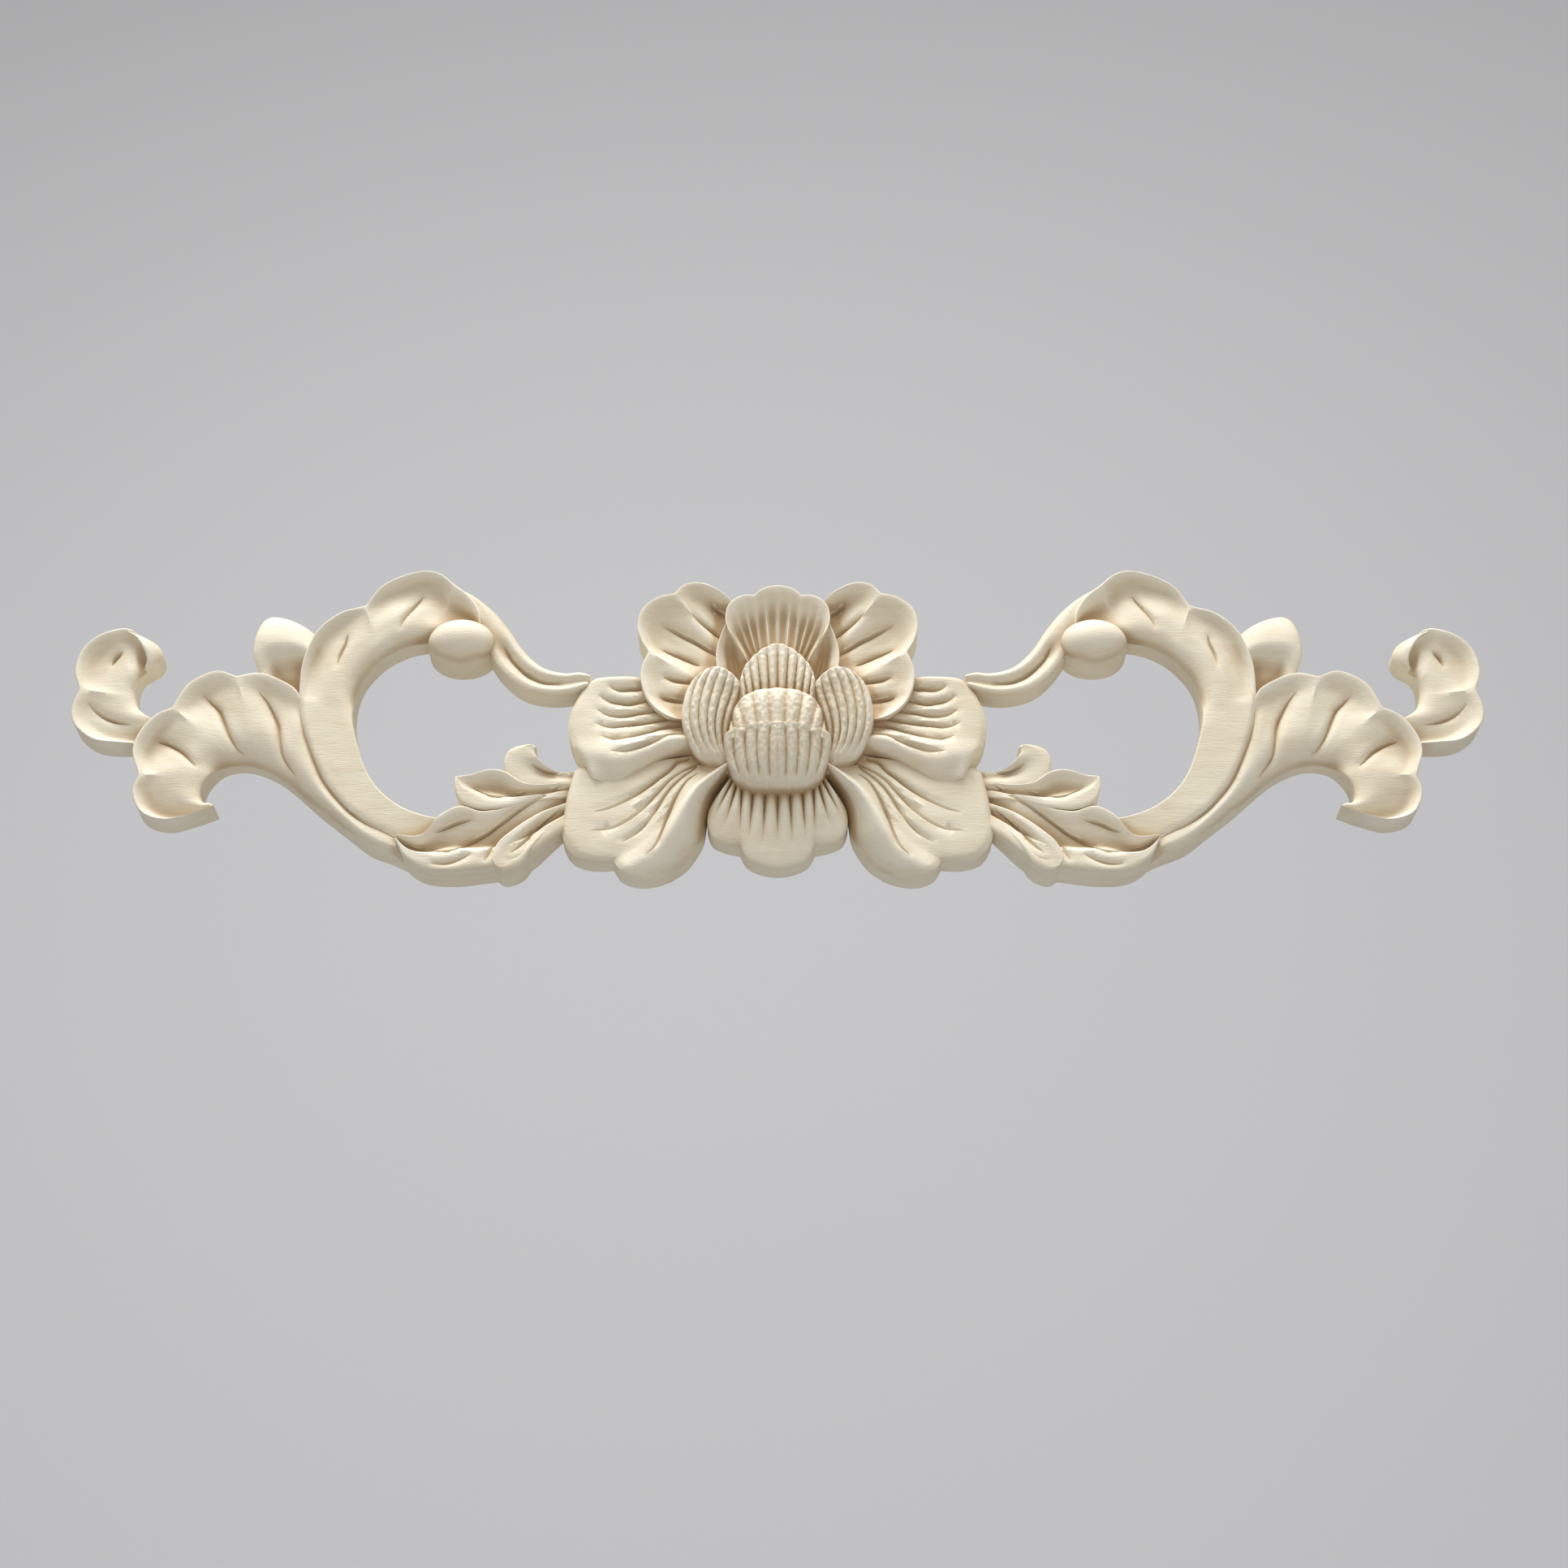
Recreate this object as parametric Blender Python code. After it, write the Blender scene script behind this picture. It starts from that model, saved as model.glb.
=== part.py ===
"""Carved wood applique: a 400 mm onlay with a flat back, a peony in the middle and a leaf branch each side.

It hangs upright on whatever it decorates: X runs along it, Z is up, and the carving faces -Y.
The origin is on the flat back, in the middle of its length and height.

The left half is drawn flat, in millimetres: x along (negative to the left), y up,
and the height above the back.
Each petal, leaf or scroll is a block whose carved top is stretched between two long edges, near and far.
Every block runs down through the back. The blocks are joined, sawn off flat at the back, and mirrored.
"""

import math

import bmesh
import bpy
import numpy as np
from mathutils import Matrix

# Driving sizes, in millimetres.
LENGTH = 400.0
BUD_TOP = 21.0  # crown of the bud above the back
HOOD_RIM = 14.0  # rim of the fluted petal behind the bud
SPRAY_RIM = 12.6  # rims of the small leaf spray
SIDE_CREST = 13.6  # rolled lower edge of the side petals
UPPER_RIM = 11.3  # rims of the upper petals
SCROLL_RIM = 11.0  # outer rim of the C-scroll
LEAF_RIM = 10.0  # rims of the large leaf and of the end curl
PETAL_EDGE = 9.0  # outer edge of the lower petals
BOTTOM_EDGE = 8.3  # outer edge of the bottom petal

DRAWN_LENGTH = 399.72
SCALE = LENGTH / DRAWN_LENGTH * 0.001  # drawn millimetres to metres
UNDER = -4.0  # how far blocks are drawn below the back, before the saw cut
WELD = 0.00001  # metres: points closer than this are one
SAW = 600.0  # side of the block that trims the back
STAGGER = 0.21  # each block ends a little lower than the last, so no two ends lie in one plane
QUARTER_TURN = math.pi / 2
CREASE = math.radians(32)  # edges that turn by more than this look sharp

WOOD_COLOUR = (0.75, 0.67, 0.54, 1.0)
WOOD_ROUGHNESS = 0.62


def clear_scene():
    """Removes every object, so that the file can be run again."""
    for found in list(bpy.data.objects):
        bpy.data.objects.remove(found)


def spline(points, steps=16):
    """A smooth curve through the points, as a fine polyline; knot k is its point k * steps."""
    knots = np.array(points, float)
    if len(knots) == 2:
        return knots[0] + np.linspace(0, 1, steps + 1)[:, None] * (knots[1] - knots[0])
    padded = np.vstack([2 * knots[0] - knots[1], knots, 2 * knots[-1] - knots[-2]])
    gaps = np.sqrt(np.linalg.norm(np.diff(padded, axis=0), axis=1))
    times = np.concatenate([[0], np.cumsum(gaps)])
    fine = [knots[0][None]]
    for k in range(1, len(knots)):
        p, at = padded[k - 1:k + 3], times[k - 1:k + 3]
        t = np.linspace(at[1], at[2], steps + 1)[1:, None]
        a = [((at[j + 1] - t) * p[j] + (t - at[j]) * p[j + 1]) / (at[j + 1] - at[j]) for j in range(3)]
        b = [((at[j + 2] - t) * a[j] + (t - at[j]) * a[j + 1]) / (at[j + 2] - at[j]) for j in range(2)]
        fine.append(((at[2] - t) * b[0] + (t - at[1]) * b[1]) / (at[2] - at[1]))
    return np.vstack(fine)


def evenly(line, count):
    """count + 1 points spread evenly along a polyline."""
    along = np.concatenate([[0], np.cumsum(np.linalg.norm(np.diff(line, axis=0), axis=1))])
    wanted = np.linspace(0, along[-1], count + 1)
    return np.stack([np.interp(wanted, along, line[:, axis]) for axis in range(3)], axis=1)


def rail(height, counts, *lobes, sharp=True):
    """One edge of a block, lobe after lobe. Each lobe goes on from the last one's end.

    Points are (x, y) at the given height, or (x, y, height). Sharp edges have a corner between lobes.
    """
    lobes = [[(*p, height) if len(p) == 2 else p for p in lobe] for lobe in lobes]
    for k in range(1, len(lobes)):
        lobes[k] = [lobes[k - 1][-1]] + lobes[k]
    if sharp:
        lines = [spline(lobe) for lobe in lobes]
    else:
        whole = spline(lobes[0] + [p for lobe in lobes[1:] for p in lobe[1:]])
        ends = np.cumsum([0] + [(len(lobe) - 1) * 16 for lobe in lobes])
        lines = [whole[a:b + 1] for a, b in zip(ends[:-1], ends[1:])]
    parts = [evenly(line, count) for line, count in zip(lines, counts)]
    return np.vstack([parts[0]] + [part[1:] for part in parts[1:]])


def ramp(t, start, end):
    """0 before start, 1 after end, and smooth between."""
    t = np.clip((t - start) / (end - start), 0, 1)
    return t * t * (3 - 2 * t)


def hump(t, start, top, end):
    """0 at start and end, 1 at top, and smooth between."""
    return ramp(t, start, top) * (1 - ramp(t, top, end))


def roll(t, width):
    """A quarter round: -1 at the edge t = 0, and 0 from width inwards."""
    t = np.clip(t / width, 0, 1)
    return np.sqrt(1 - (1 - t) ** 2) - 1


def cuts(t, places, depth, half_width):
    """V-shaped cuts at the places."""
    nearest = np.min([np.abs(t - place) for place in places], axis=0)
    return -depth * np.clip(1 - nearest / half_width, 0, 1)


def rows(count, places=(), half_width=0.0):
    """Distances across a block: closer at the edges, with three for each cut."""
    base = [0.5 - 0.5 * math.cos(math.pi * k / count) for k in range(count + 1)]
    kept = [v for v in base if v in (0, 1) or all(abs(v - p) > 1.6 * half_width for p in places)]
    return np.array(sorted(kept + [p + side * half_width for p in places for side in (-1, 0, 1)]))


def lobe_places(counts):
    """Where each column stands, counted in lobes: 1.5 is the middle of the second lobe."""
    spans = [k + np.arange(count) / count for k, count in enumerate(counts)]
    return np.concatenate(spans + [[len(counts)]])


def block(name, near, far, counts, across, carve, start=None, finish=None):
    """A closed block. Its top is a patch between near, far and the two ends, shaped by carve(lobe, v)."""
    v = across[None, :, None]
    u = np.linspace(0, 1, len(near))[:, None, None]
    top = near[:, None] * (1 - v) + far[:, None] * v
    if start is not None:
        top = top + (1 - u) * (start[None] - top[:1])
    if finish is not None:
        top = top + u * (finish[None] - top[-1:])
    top[..., 2] += carve(lobe_places(counts)[:, None], across[None, :])

    mesh = bmesh.new()
    bmesh.ops.create_grid(mesh, x_segments=len(near) - 1, y_segments=len(across) - 1, size=1)
    for vert in mesh.verts:
        i = round((vert.co.x + 1) / 2 * (len(near) - 1))
        j = round((vert.co.y + 1) / 2 * (len(across) - 1))
        vert.co = top[i, j]
    below = bmesh.ops.extrude_face_region(mesh, geom=mesh.faces[:], use_keep_orig=True)
    for vert in below["geom"]:
        if isinstance(vert, bmesh.types.BMVert):
            vert.co.z = UNDER
    return finished(name, mesh)


def knob(name, centre, radii, profile, sides):
    """A turned knob, made oval: the profile is (share of the radius, height) from the middle out."""
    mesh = bmesh.new()
    line = [mesh.verts.new((r, 0, z)) for r, z in profile + [(1, UNDER), (0, UNDER)]]
    edges = [mesh.edges.new(pair) for pair in zip(line[:-1], line[1:])]
    bmesh.ops.spin(mesh, geom=line + edges, axis=(0, 0, 1), cent=(0, 0, 0), angle=2 * math.pi,
                   steps=sides, use_merge=True)
    bmesh.ops.remove_doubles(mesh, verts=mesh.verts, dist=0.001)
    bmesh.ops.scale(mesh, vec=(radii[0], radii[1], 1), verts=mesh.verts)
    bmesh.ops.translate(mesh, vec=(centre[0], centre[1], 0), verts=mesh.verts)
    return finished(name, mesh)


def finished(name, mesh):
    """Turns the faces outwards, scales the drawing to metres, stands it upright and makes the object."""
    bmesh.ops.recalc_face_normals(mesh, faces=mesh.faces)
    bmesh.ops.transform(mesh, matrix=Matrix.Rotation(QUARTER_TURN, 4, "X") @ Matrix.Scale(SCALE, 4),
                        verts=mesh.verts)
    data = bpy.data.meshes.new(name)
    mesh.to_mesh(data)
    mesh.free()
    made = bpy.data.objects.new(name, data)
    bpy.context.scene.collection.objects.link(made)
    return made


def scroll_band():
    """The C-scroll: a band that rises from under the spray and ends in a scooped, scalloped head."""
    counts = (9, 6, 6, 4)
    outer = rail(SCROLL_RIM, counts,
                 [(-88, -36, 7), (-106.5, -36.2, 9), (-114.4, -32.2, 9.6), (-121.6, -26.4, 9.8),
                  (-127.7, -18.7, 9.8), (-131.8, -9.9, 9.8), (-134.6, -1.6, 9.8), (-136, 7, 9.8)],
                 [(-135.4, 18, 10.5), (-132, 27.6), (-126, 33.6), (-118.4, 36.1)],
                 [(-113.5, 42.9), (-103, 47.4), (-97.8, 46.7), (-93, 42.9)],
                 [(-88.8, 39.3), (-85.7, 34.3), (-84.8, 28.5)])
    inner = rail(10, counts,
                 [(-88, -30.5, 9), (-98.3, -29.3), (-106.5, -25.7), (-113.7, -18.5), (-118.6, -6.5),
                  (-120.4, 3)],
                 [(-118.8, 12.5), (-113.5, 20)], [(-107, 24.3), (-100, 26)], [(-95, 26.2), (-90, 25.5)],
                 sharp=False)

    def carve(lobe, v):
        upper = ramp(lobe, 0.85, 1.3)
        scallop = np.abs(np.sin(np.pi * lobe)) ** 0.7 * (lobe > 1) * (lobe < 3)
        head = ramp(lobe, 2.3, 3.2)
        return (1.6 * (1 - upper) * roll(1 - v, 0.12) + 4.2 * upper * roll(v, 0.3)
                - (2.4 * scallop * hump(v, 0.4, 0.84, 1.0) + 3.2 * head * hump(v, 0.1, 0.65, 1.0)))

    return block("scroll_band", inner, outer, counts, rows(6), carve)


def scroll_eye():
    """The rounded eye that the scroll's head winds into."""
    dome = [(math.sin(a * QUARTER_TURN), 8.2 + 6.3 * math.cos(a * QUARTER_TURN))
            for a in (0, 0.3, 0.6, 0.85, 1)]
    return knob("scroll_eye", (-90.4, 24.8), (9.8, 7.2), dome, 18)


def scroll_stem():
    """The two-strand stem from the scroll's head down to the flower."""
    counts = (12,)
    inner = rail(10, counts,
                 [(-95, 42), (-91, 37.6), (-87.6, 32.6), (-85.4, 26.4), (-81.9, 20.4),
                  (-77.8, 14.8), (-72.7, 10.7, 9.6), (-65.1, 8.7, 9.4), (-58, 9.4, 9.2), (-51, 11.5, 9)])
    outer = rail(9.9, counts,
                 [(-94.4, 43.6), (-87.8, 40.5), (-82.2, 36), (-77.4, 30.1), (-72.7, 23), (-67, 17.6),
                  (-60.3, 15.3), (-56, 15), (-50, 14, 9)])
    groove = 0.5

    def carve(lobe, v):
        lower = ramp(lobe, 0.35, 0.5)
        return 2.6 * roll(1 - v, 0.4) + 0.8 * lower * roll(v, 0.25) + lower * cuts(v, [groove], 1.7, 0.2)

    return block("scroll_stem", inner, outer, counts, rows(4, [groove], 0.16), carve)


def large_leaf():
    """The large leaf that opens outside the C-scroll, with four scalloped lobes and a turned-in tip."""
    counts = (8, 5, 5, 5, 6)
    rim = rail(LEAF_RIM, counts,
               [(-90, -38, 7), (-105.6, -34.9, 9.2), (-113.2, -31, 9.4), (-120.4, -25.2, 9.5),
                (-126.4, -17.7, 9.5),
                (-130.5, -9, 9.5), (-133.2, -1, 9.5), (-134.8, 5.5, 9.6)],
               [(-136.6, 9.6), (-141.3, 12.8), (-147.6, 15.1), (-153.9, 14)],
               [(-159.7, 15.7), (-167.1, 12), (-170.4, 6.5), (-171.3, 4.2)],
               [(-175.8, 2), (-180, -3.4), (-181.5, -9), (-179.2, -17)],
               [(-180.4, -22), (-177.6, -28.2), (-171, -30.5), (-163.5, -28.7), (-157.3, -26.2)])
    throat = rail(9.4, counts,
                  [(-98, -45.3), (-106.2, -41), (-113.8, -37.8), (-119.6, -33.3), (-128.5, -26.1),
                   (-136, -19.3)],
                  [(-140.5, -15.8), (-145.4, -13.3)], [(-149, -12.2), (-152.6, -12.1)],
                  [(-156.5, -13.2), (-159.6, -16.2)], [(-161.3, -19.5), (-161.6, -22.6), (-160.6, -24.7),
                                                       (-158.9, -25.1)],
                  sharp=False)

    def carve(lobe, v):
        stem = 1 - ramp(lobe, 0.8, 1.2)
        tip = ramp(lobe, 3.2, 4.2)
        scallop = np.abs(np.sin(np.pi * lobe)) ** 0.7 * (lobe > 1)
        return (1.8 * stem * roll(1 - v, 0.14) + (5.6 - 4.2 * tip) * roll(v, 0.45)
                - scallop * (1.9 + 1.0 * ramp(lobe, 2.5, 3.5)) * hump(v, 0.25, 0.8, 1.0))

    return block("large_leaf", throat, rim, counts, rows(6), carve)


def end_curl():
    """The small curled leaf at the far end."""
    counts = (5, 6, 3)
    rim = rail(LEAF_RIM, counts,
               [(-172, -8, 5), (-181.5, -6.6, 8.5), (-185.4, -6.9), (-193.3, -5.7), (-199.1, -0.6),
                (-199.9, 4), (-198.3, 9.8)],
               [(-200, 15.5), (-198.7, 22.5), (-194.4, 27.1), (-187.6, 29.3), (-185, 28.8)],
               [(-181.5, 25.1), (-179.4, 19.5)])
    throat = rail(9, counts,
                  [(-168, -1, 4), (-178.7, 2.2), (-181.6, 5), (-182.7, 8)],
                  [(-183, 11), (-182.4, 14)], [(-181.2, 16), (-179.6, 17)], sharp=False)

    def carve(lobe, v):
        scallop = np.abs(np.sin(np.pi * np.minimum(lobe, 1.8))) ** 0.7
        return 2.0 * ramp(lobe, 0.4, 1) * roll(v, 0.25) - scallop * 2.0 * hump(v, 0.1, 0.75, 1.0) \
            - 2.6 * ramp(lobe, 1.7, 2.6) * hump(v, -0.5, 0.3, 1.0)

    return block("end_curl", throat, rim, counts, rows(5), carve)


def end_curl_roll():
    """The rolled-back tip of the end curl."""
    counts = (6,)
    crease = rail(10.2, counts,
                  [(-186.5, 28.4), (-183.4, 26.9), (-180.6, 23.2), (-179.6, 19.5), (-181, 16.4, 8.5)])
    outer = rail(9.4, counts,
                 [(-186.4, 29.2), (-181.1, 27.2), (-177.3, 25), (-175.6, 22), (-176.6, 18.5), (-179.7, 16.4)])
    return block("end_curl_roll", crease, outer, counts, rows(3), lambda lobe, v: 3.4 * roll(1 - v, 0.9))


def bract():
    """The blunt bract that stands between the large leaf and the C-scroll."""
    counts = (7,)
    across = rows(4)
    left = rail(9.6, counts, [(-142, 8, 7), (-147.2, 14.6), (-149.6, 20), (-149.7, 25.1), (-148.6, 29.5)])
    right = rail(9, counts, [(-133, 7, 7), (-134.4, 15), (-133.8, 20.5), (-132.6, 24), (-131, 27)])
    tip = rail(9.6, (len(across) - 1,),
               [(-148.6, 29.5), (-147.2, 32.2), (-144.6, 33.6), (-141, 33), (-136.4, 31), (-131, 27, 9)])

    def carve(lobe, v):
        return (1.6 * roll(v, 0.3) + 3.0 * roll(1 - lobe, 0.5)
                - 2.6 * hump(lobe, -0.2, 0.3, 0.62) * ramp(v, 0.05, 0.5))

    return block("bract", left, right, counts, across, carve, finish=tip)


def spray_leaf():
    """The long pointed leaf of the spray, with its valley and a lobe on each side."""
    counts = (6, 7)
    lower = rail(SPRAY_RIM, counts,
                 [(-56, -29, 6.5), (-62.5, -36, 10.6), (-70, -43), (-78.6, -45.6)],
                 [(-89.7, -46.9), (-97.9, -46.1), (-103.1, -42.6), (-106, -37.2)])
    upper = rail(SPRAY_RIM, counts,
                 [(-57, -19, 6.2), (-68, -24.5, 11.8), (-77.5, -28.6)],
                 [(-82.5, -29.1), (-88.2, -27.5), (-93.4, -30), (-98.8, -36.3), (-106, -36.2)])
    valley = 0.47

    def carve(lobe, v):
        return -3.4 * hump(v, 0.3, valley, 1.0) * ramp(lobe, -0.4, 0.4) + 0.8 * roll(v, 0.12)

    return block("spray_leaf", lower, upper, counts, rows(5, [valley], 0.1), carve)


def spray_lower_lobe():
    """The blunt lobe under the spray's root."""
    counts = (8,)
    lower = rail(SPRAY_RIM, counts,
                 [(-55, -29, 5.5), (-60.1, -32.2, 8.6), (-64, -35.3, 11), (-67.8, -40.5), (-70.7, -45),
                  (-75.6, -46.9), (-78.2, -45.3)])
    upper = rail(SPRAY_RIM + 0.3, counts,
                 [(-55, -22, 5.6), (-66, -29, 11.4), (-73.5, -35), (-77.8, -39.5), (-79.2, -44.2)])

    def carve(lobe, v):
        return -2.2 * hump(v, 0.15, 0.45, 0.85) * ramp(1 - lobe, 0.1, 0.45) + 0.8 * roll(v, 0.15)

    return block("spray_lower_lobe", lower, upper, counts, rows(5), carve)


def spray_middle_lobe():
    """The spray's second lobe, pointed and cupped."""
    counts = (8,)
    lower = rail(SPRAY_RIM + 0.2, counts,
                 [(-56, -22, 5.8), (-66, -25.2, 11.4), (-76, -28.2), (-83, -28.6), (-88.2, -26.4),
                  (-90, -22.4), (-90, -19)])
    upper = rail(SPRAY_RIM + 0.2, counts,
                 [(-56, -16, 6), (-64, -20, 10.8), (-71, -20.4), (-76.4, -17), (-80.5, -16.4), (-86, -18.1),
                  (-89.9, -18.5)])

    def carve(lobe, v):
        return -2.8 * hump(v, 0.35, 0.55, 1.05) * hump(lobe, -0.3, 0.6, 1.0) + 0.5 * roll(v, 0.12)

    return block("spray_middle_lobe", lower, upper, counts, rows(6), carve)


def spray_upper_lobe():
    """The spray's third lobe, which curls up into a small hook."""
    counts = (10,)
    lower = rail(SPRAY_RIM + 0.3, counts,
                 [(-54, -19, 5.2), (-62, -21, 9.6), (-70, -21.2, 12.4), (-75.2, -18.4), (-76.7, -13.9),
                  (-75.2, -10.3), (-71.1, -8.8), (-68.6, -8.8)])
    upper = rail(SPRAY_RIM, counts,
                 [(-52, -13, 5.4), (-58.8, -15, 7.8), (-63.6, -15.2, 10.8), (-66.8, -13.2), (-68.2, -10.7),
                  (-67.7, -9.4)])

    def carve(lobe, v):
        return cuts(v, [0.7], 1.3, 0.2) * ramp(1 - lobe, 0.2, 0.5) + 1.0 * roll(v, 0.3)

    return block("spray_upper_lobe", lower, upper, counts, rows(3, [0.7], 0.14), carve)


def bottom_petal():
    """The small scalloped petal under the bud, fluted from its root."""
    counts = (6, 12)
    root = rail(10, counts, [(-13, -17), (-10, -19)], [(-5, -20), (0, -20), (5, -20), (10, -19)],
                sharp=False)
    edge = rail(BOTTOM_EDGE, counts,
                [(-19.4, -27), (-19.6, -31), (-18.1, -35), (-14.1, -37), (-10.5, -37.8)],
                [(-8.8, -41), (-6, -42.9), (0, -44.2), (6, -42.9), (8.8, -41), (10.5, -37.8)])

    def carve(lobe, v):
        place = np.where(lobe < 1, lobe * 3, 3 + (lobe - 1) * 6)
        ridges = np.abs(np.cos(np.pi * place))
        return 1.2 * hump(v, -0.2, 0.45, 1.0) - 0.9 * ridges * (1 - ramp(v, 0.35, 0.8)) + 0.8 * roll(1 - v,
                                                                                                     0.2)

    return block("bottom_petal", root, edge, counts, rows(4), carve)


def lower_petal():
    """The broad lower petal: two lobes at its tip, cuts that fan from the bud, and a rolled right edge."""
    counts = (9,)
    fan = (0.3, 0.43, 0.6, 0.77)
    across = rows(6, fan, 0.045)
    right = rail(PETAL_EDGE, counts,
                 [(-9, -13, 12.8), (-14.5, -18, 12.8), (-18, -22.5, 12.8), (-19.7, -28, 12.4),
                  (-20.6, -34, 11.6),
                  (-22.4, -38, 10.8), (-25.4, -42.3, 9.8), (-29.5, -45.4)])
    left = rail(PETAL_EDGE, counts, [(-14, -9, 10), (-28, -11), (-42, -13), (-57, -14.5)])
    first = int(np.searchsorted(across, 0.36))
    second = int(np.searchsorted(across, 0.68)) - first
    tip = rail(PETAL_EDGE, (first, second, len(across) - 1 - first - second),
               [(-29.5, -45.4), (-33.6, -46.9), (-38.6, -47.4), (-43.4, -45.6), (-45.7, -42.1)],
               [(-51.3, -42.3), (-57.2, -40.2), (-60.2, -34), (-60, -30.4)],
               [(-59, -23), (-57, -14.5)])

    def carve(lobe, v):
        near_bud = 1 - ramp(lobe, 0.45, 0.95)
        return (6.5 * roll(v, 0.22) + 1.6 * hump(v, 0.0, 0.2, 0.4)
                + cuts(v, fan, 1.5, 0.045) * near_bud + 0.7 * roll(1 - lobe, 0.12) * ramp(v, 0.1, 0.3))

    return block("lower_petal", right, left, counts, across, carve, finish=tip)


def side_petal():
    """The side petal: a round tip, cuts that run in towards the bud, and a rolled lower edge."""
    counts = (7,)
    lines = (0.3, 0.41, 0.53, 0.64, 0.76, 0.88)
    across = rows(5, lines, 0.03)
    lower = rail(SIDE_CREST, counts,
                 [(-17, -12), (-26.8, -10.5), (-32.3, -12), (-38.6, -16), (-45, -19.4), (-52.5, -17.8, 12)])
    upper = rail(LEAF_RIM, counts, [(-17, 4, 9), (-28, 9, 9), (-38.7, 13.9), (-46.9, 13.9), (-52.7, 13.2)])
    tip = rail(LEAF_RIM, (len(across) - 1,),
               [(-52.5, -17.8, 12), (-54.4, -12.8, 11.4), (-57.4, -8.8, 10.2), (-59.1, -3), (-58.9, 1.5),
                (-57, 6.8), (-54.8, 11), (-52.7, 13.2)])

    def carve(lobe, v):
        inner = 1 - ramp(lobe, 0.55, 0.9)
        return (5.2 * roll(v, 0.22) * (1 - 0.7 * ramp(lobe, 0.8, 1)) + 0.5 * hump(v, 0.0, 0.2, 0.4)
                + cuts(v, lines, 1.5, 0.04) * inner + 0.8 * roll(1 - lobe, 0.1) - 1.2 * inner * ramp(v,
                                                                                                     0.2,
                                                                                                     0.4))

    return block("side_petal", lower, upper, counts, across, carve, finish=tip)


def upper_petal():
    """The upper petal: three scalloped lobes around a bowl, cut by lines that run in to the bud."""
    counts = (7, 7, 8)
    root = rail(10.2, counts,
                [(-10.5, 24), (-13, 19)], [(-15.5, 15), (-17.5, 10)], [(-18, 4), (-16, -3)], sharp=False)
    rim = rail(UPPER_RIM, counts,
               [(-12, 35.5), (-14.7, 39.2), (-18.5, 42.1), (-23.4, 43.7), (-27.2, 42.8), (-29.8, 40)],
               [(-34.2, 39), (-38.6, 35.6), (-40.2, 30.5), (-39.3, 25.4), (-37, 21.2)],
               [(-38.9, 15.5), (-38.6, 10.5), (-36.6, 5.6), (-31.8, 0.9, 12), (-24, -1.6, 12)])
    lines = (0.5, 1.0, 1.5, 2.0, 2 + 1 / 3, 2 + 2 / 3)

    def carve(lobe, v):
        scallop = np.abs(np.sin(np.pi * lobe)) ** 0.7
        return (-2.3 * scallop * hump(v, 0.1, 0.78, 1.0) * (1 - 0.5 * ramp(lobe, 1.9, 2.4))
                + cuts(lobe, lines, 1.1, 0.1) * (1 - ramp(v, 0.5, 0.8)))

    return block("upper_petal", root, rim, counts, rows(4), carve)


def hood():
    """The fluted petal that stands behind the bud."""
    counts = (3, 6, 12)
    root = rail(11, counts, [(-6.8, 14.5), (-6.2, 17.2)], [(-4.5, 19)], [(0, 20), (4.5, 19)], sharp=False)
    rim = rail(HOOD_RIM, counts,
               [(-14.4, 27.4), (-15, 31), (-14.3, 34.5), (-13.1, 36.2)],
               [(-11.2, 37.5), (-9, 38.1), (-6.8, 38)],
               [(-4.4, 40.1), (0, 41.1), (4.4, 40.1), (6.8, 38)])

    def carve(lobe, v):
        place = np.where(lobe < 2, lobe * 1.5, 3 + (lobe - 2) * 3)
        ridges = 0.5 + 0.5 * np.cos(2 * np.pi * place)
        return (-3.2 * hump(v, -0.3, 0.55, 1.0) * (0.15 + 0.85 * ramp(lobe, 0, 0.4))
                + 1.3 * ridges * hump(v, -0.2, 0.4, 0.95))

    return block("hood", root, rim, counts, rows(4), carve)


def hood_ear():
    """The hollow ear that turns out from the hood's side."""
    counts = (6,)
    fold = rail(11.4, counts, [(-5.4, 9.5, 10.4), (-7.6, 17, 10.8), (-11, 24), (-14.2, 28.9, 12.9)])
    rim = rail(HOOD_RIM - 0.6, counts,
               [(-12.4, 9.2, 12), (-16.2, 12.6, 12.8), (-17.5, 17.4), (-17.3, 21.6), (-16.4, 25),
                (-14.9, 29.2)])

    def carve(lobe, v):
        return -3.3 * hump(v, -0.05, 0.5, 1.0) * (1 - 0.8 * ramp(lobe, 0.6, 1.0))

    return block("hood_ear", fold, rim, counts, rows(4), carve)


def rear_bud_petal():
    """The pointed fluted petal at the back of the bud."""
    counts = (20,)
    foot = rail(16, counts, [(-10, 0), (-5, 0), (0, 0), (5, 0), (10, 0)])
    rim = rail(17, counts,
               [(-10.6, 9.5), (-9.4, 13.4), (-6.2, 17.6), (-3.2, 19.9), (0, 20.9), (3.2, 19.9), (6.2, 17.6),
                (9.4, 13.4), (10.6, 9.5)])

    def carve(lobe, v):
        flute = 0.5 - 0.5 * np.cos(2 * np.pi * lobe * 10)
        return 0.8 * hump(v, -0.5, 0.5, 1.2) - 0.8 * flute * (1 - ramp(v, 0.75, 1.0))

    return block("rear_bud_petal", foot, rim, counts, rows(3), carve)


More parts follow.
